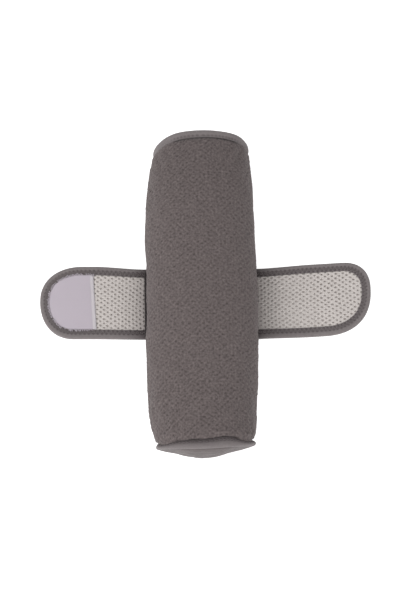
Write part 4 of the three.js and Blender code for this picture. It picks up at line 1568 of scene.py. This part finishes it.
# %% Hollow shade and tint
def hollow_shade_and_tint_group():
    """Painted shade: down in a hole, groove or pit, and beside the pad, the cloth turns towards the
    hollow colour, by the hollow value. On the hook tape, the strap's backing and the rim row it gives
    their own second colour instead.
    """
    group, source, sink = new_group(
        "hollow_shade_and_tint",
        [
            ("Colour", "NodeSocketColor", None),
            ("Hollow", "NodeSocketFloat", 0.0),
            ("Hollow colour", "NodeSocketColor", None),
            ("Strength", "NodeSocketFloat", 1.0),
        ],
        [("Colour", "NodeSocketColor")],
    )
    hollow, strength = source.outputs["Hollow"], source.outputs["Strength"]
    share = math_node(group, "MULTIPLY", hollow, strength, clamp=True)
    tint = colour_mix(group, share, source.outputs["Colour"], source.outputs["Hollow colour"])
    group.links.new(tint, sink.inputs["Colour"])
    return group


# %% Yarn flecks
def fleck_group():
    """Light and dark flecks a millimetre or two across, where single yarns catch the light."""
    group, source, sink = new_group(
        "yarn_flecks",
        [
            ("Place", "NodeSocketVector", None),
            ("Colour", "NodeSocketColor", None),
            ("Per mm", "NodeSocketFloat", 0.55),
            ("Strength", "NodeSocketFloat", 0.2),
        ],
        [("Colour", "NodeSocketColor")],
    )
    noise = noise_node(group, source.outputs["Place"], source.outputs["Per mm"], 1.5)
    centred = math_node(group, "SUBTRACT", noise, 0.5)
    gain = math_node(group, "MULTIPLY", centred, source.outputs["Strength"])
    gain = math_node(group, "ADD", gain, 1.0)
    scaled = group.nodes.new("ShaderNodeVectorMath")
    scaled.operation = "SCALE"
    group.links.new(source.outputs["Colour"], scaled.inputs[0])
    group.links.new(gain, scaled.inputs["Scale"])
    group.links.new(scaled.outputs[0], sink.inputs["Colour"])
    return group


GRAIN, MOTTLE, HOLLOW, FLECKS = knit_grain_group(), mottle_group(), hollow_shade_and_tint_group(), fleck_group()
print("node groups:", [g.name for g in (GRAIN, MOTTLE, HOLLOW, FLECKS)])


# %% Colours
ROUGHNESS = 0.92
SHEEN = 0.15
PATCH_STRENGTH = 0.5
FLECK_SIZE = 1.8  # mm


def linear(red, green, blue):
    """An sRGB colour of 0 to 255 as the linear values that Blender's shaders use."""
    value = np.array([red, green, blue]) / 255
    return (*np.where(value <= 0.04045, value / 12.92, ((value + 0.055) / 1.055) ** 2.4), 1.0)


def cloth_material(name, dark, light, hollow, ribs, bump, flecks=0.3):
    """A cloth: its colour runs from dark to light with the knit's ribs and slow patches, carries
    flecks, and turns to the hollow colour, mostly painted shade, where the piece says so. Place is
    the piece's UV, in mm."""
    material = bpy.data.materials.new(name)
    material.use_nodes = True
    tree = material.node_tree
    shader = tree.nodes["Principled BSDF"]
    shader.inputs["Roughness"].default_value = ROUGHNESS
    shader.inputs["Specular IOR Level"].default_value = 0.25
    shader.inputs["Sheen Weight"].default_value = SHEEN
    shader.inputs["Sheen Roughness"].default_value = 0.5
    place = tree.nodes.new("ShaderNodeUVMap")
    place.uv_map = "cloth"

    def effect(group, **values):
        node = tree.nodes.new("ShaderNodeGroup")
        node.node_tree = group
        for label, value in values.items():
            node.inputs[label.replace("_", " ")].default_value = value
        if "Place" in node.inputs:
            tree.links.new(place.outputs["UV"], node.inputs["Place"])
        return node

    grain = effect(GRAIN, Ribs_per_mm=ribs)
    patches = effect(MOTTLE, Strength=PATCH_STRENGTH)
    ribs_share = math_node(tree, "MULTIPLY", grain.outputs["Shade"], 0.3)
    patch_share = math_node(tree, "MULTIPLY", patches.outputs["Share"], 0.7)
    share = math_node(tree, "ADD", ribs_share, patch_share, clamp=True)
    colour = colour_mix(tree, share, linear(*dark), linear(*light))
    yarn = effect(FLECKS, Per_mm=1 / FLECK_SIZE, Strength=flecks)
    tree.links.new(colour, yarn.inputs["Colour"])
    down = tree.nodes.new("ShaderNodeAttribute")
    down.attribute_name = "hollow"
    shade = effect(HOLLOW, Hollow_colour=linear(*hollow))
    tree.links.new(yarn.outputs["Colour"], shade.inputs["Colour"])
    tree.links.new(down.outputs["Fac"], shade.inputs["Hollow"])
    tree.links.new(shade.outputs["Colour"], shader.inputs["Base Color"])
    relief = tree.nodes.new("ShaderNodeBump")
    relief.inputs["Strength"].default_value = bump
    relief.inputs["Distance"].default_value = 0.0004
    tree.links.new(grain.outputs["Height"], relief.inputs["Height"])
    tree.links.new(relief.outputs["Normal"], shader.inputs["Normal"])
    return material


# %% The eight cloths
# Each has its dark, light and hollow colour, its ribs per millimetre and the strength of its bump.
# The hollow colour is mostly painted shade; on the backing, hooks and rim row it is their own colour.
cover_colours = (98, 89, 88), (121, 111, 110), (75, 67, 67)
cover_cloth = cloth_material("taupe_air_mesh", *cover_colours, 1.3, 0.8, 1.5)
trim_cloth = cloth_material("taupe_trim_knit", (107, 100, 100), (121, 114, 113), (80, 73, 73), 2.2, 0.35)
tape_cloth = cloth_material("taupe_tape", (121, 114, 114), (137, 130, 130), (70, 63, 64), 2.2, 0.4)
lining_cloth = cloth_material("dark_lining_knit", (90, 83, 82), (104, 96, 94), (212, 204, 200), 1.8, 0.5)
mesh_colours = (202, 195, 191), (218, 211, 207), (146, 138, 136)
mesh_cloth = cloth_material("beige_open_mesh", *mesh_colours, 1.6, 0.5)
hook_colours = (215, 209, 213), (221, 215, 219), (200, 191, 200)
hook_cloth = cloth_material("lilac_hook_tape", *hook_colours, 2.6, 0.3, 0.05)
loop_cloth = cloth_material("grey_loop_tape", (118, 110, 111), (138, 130, 131), (96, 90, 90), 1.4, 0.8)
thread_cloth = cloth_material("taupe_thread", (110, 102, 102), (124, 116, 116), (58, 52, 52), 3.0, 0.3)

# %% Put the finishes on
dress(cover, cover_cloth, "cover_mesh", "front_cover", "filling")
dress(back_lining, lining_cloth, "lining_knit", "back_panel")
dress(top_tape, tape_cloth, "trim_tape", "top_end_binding")
dress(bottom_tape, tape_cloth, "trim_tape", "bottom_end_binding")
for panel, node in ((top_panel, "top_end_panel"), (bottom_panel, "bottom_end_panel")):
    dress(panel, trim_cloth, "trim_knit", node)
dress(strap_face, mesh_cloth, "strap_mesh", "strap_mesh")
dress(strap_back, lining_cloth, "lining_knit", "strap_backing")
dress(strap_tape, tape_cloth, "trim_tape", "strap_binding")
dress(hook_ground, hook_cloth, "hook_tape", "hook_patch")
dress(hooks, hook_cloth, "hook_tape")
dress(fray, hook_cloth, "hook_tape")
dress(loop_ground, loop_cloth, "loop_tape", "loop_patch")
dress(tape_thread, thread_cloth, "trim_tape")
dress(back_thread, thread_cloth, "trim_tape")
dress(loop_thread, mesh_cloth, "strap_mesh")
dress(rim_thread, thread_cloth, "trim_tape")
# The root row is a painted shadow in the thread's dark hollow colour.
dress(root_shadow, thread_cloth, "trim_tape")

# %% [markdown]
# ## Floor and light
#
# The pad lies on a plain white surface in soft light: a broad light high on the left, weaker ones
# from the front and the right, and a bright room round it. The white of the surface could come from
# more light, but that would wash out the cloth, so the surface glows for the camera instead.

# %% Stage
bpy.context.scene.view_settings.view_transform = "Standard"
FLOOR_REACH = 40.0
FLOOR_LEVEL = -0.0006
FLOOR_SEEN = 0.75
FLOOR_GLOW = 0.3


def add_floor():
    """A large white sheet just under the pad. Its own light is for the camera's eye; the pad gets only
    a little of it, so that the shade beside the pad stays."""
    mesh = bpy.data.meshes.new("floor")
    r, z = FLOOR_REACH, FLOOR_LEVEL
    mesh.from_pydata([(-r, -r, z), (r, -r, z), (r, r, z), (-r, r, z)], [], [(0, 1, 2, 3)])
    floor = bpy.data.objects.new("floor", mesh)
    bpy.context.collection.objects.link(floor)
    material = bpy.data.materials.new("white_surface")
    material.use_nodes = True
    tree = material.node_tree
    shader = tree.nodes["Principled BSDF"]
    shader.inputs["Base Color"].default_value = (0.92, 0.92, 0.92, 1)
    shader.inputs["Roughness"].default_value = 0.8
    shader.inputs["Emission Color"].default_value = (1, 1, 1, 1)
    seen = tree.nodes.new("ShaderNodeLightPath").outputs["Is Camera Ray"]
    glow = math_node(tree, "ADD", math_node(tree, "MULTIPLY", seen, FLOOR_SEEN - FLOOR_GLOW), FLOOR_GLOW)
    tree.links.new(glow, shader.inputs["Emission Strength"])
    mesh.materials.append(material)


def add_light(name, place, aim, size, power):
    """A square area light at a place, turned to face the point it is aimed at."""
    data = bpy.data.lights.new(name, "AREA")
    data.shape = "SQUARE"
    data.size = size
    data.energy = power
    light = bpy.data.objects.new(name, data)
    light.location = place
    light.rotation_euler = (Vector(aim) - Vector(place)).to_track_quat("-Z", "Y").to_euler()
    bpy.context.collection.objects.link(light)


def add_room(strength):
    """The bright room: an even pale background."""
    world = bpy.data.worlds.new("room")
    world.use_nodes = True
    background = world.node_tree.nodes["Background"]
    background.inputs["Color"].default_value = (1, 1, 1, 1)
    background.inputs["Strength"].default_value = strength
    bpy.context.scene.world = world


add_floor()
add_light("window_left", (-1.2, -0.4, 1.2), (0, 0, 0), 1.0, 17)
add_light("front", (0.1, -1.7, 0.8), (0, 0, 0), 1.2, 6)
add_light("fill_right", (1.3, -0.2, 0.9), (0, 0, 0), 1.4, 6.5)
add_room(0.42)
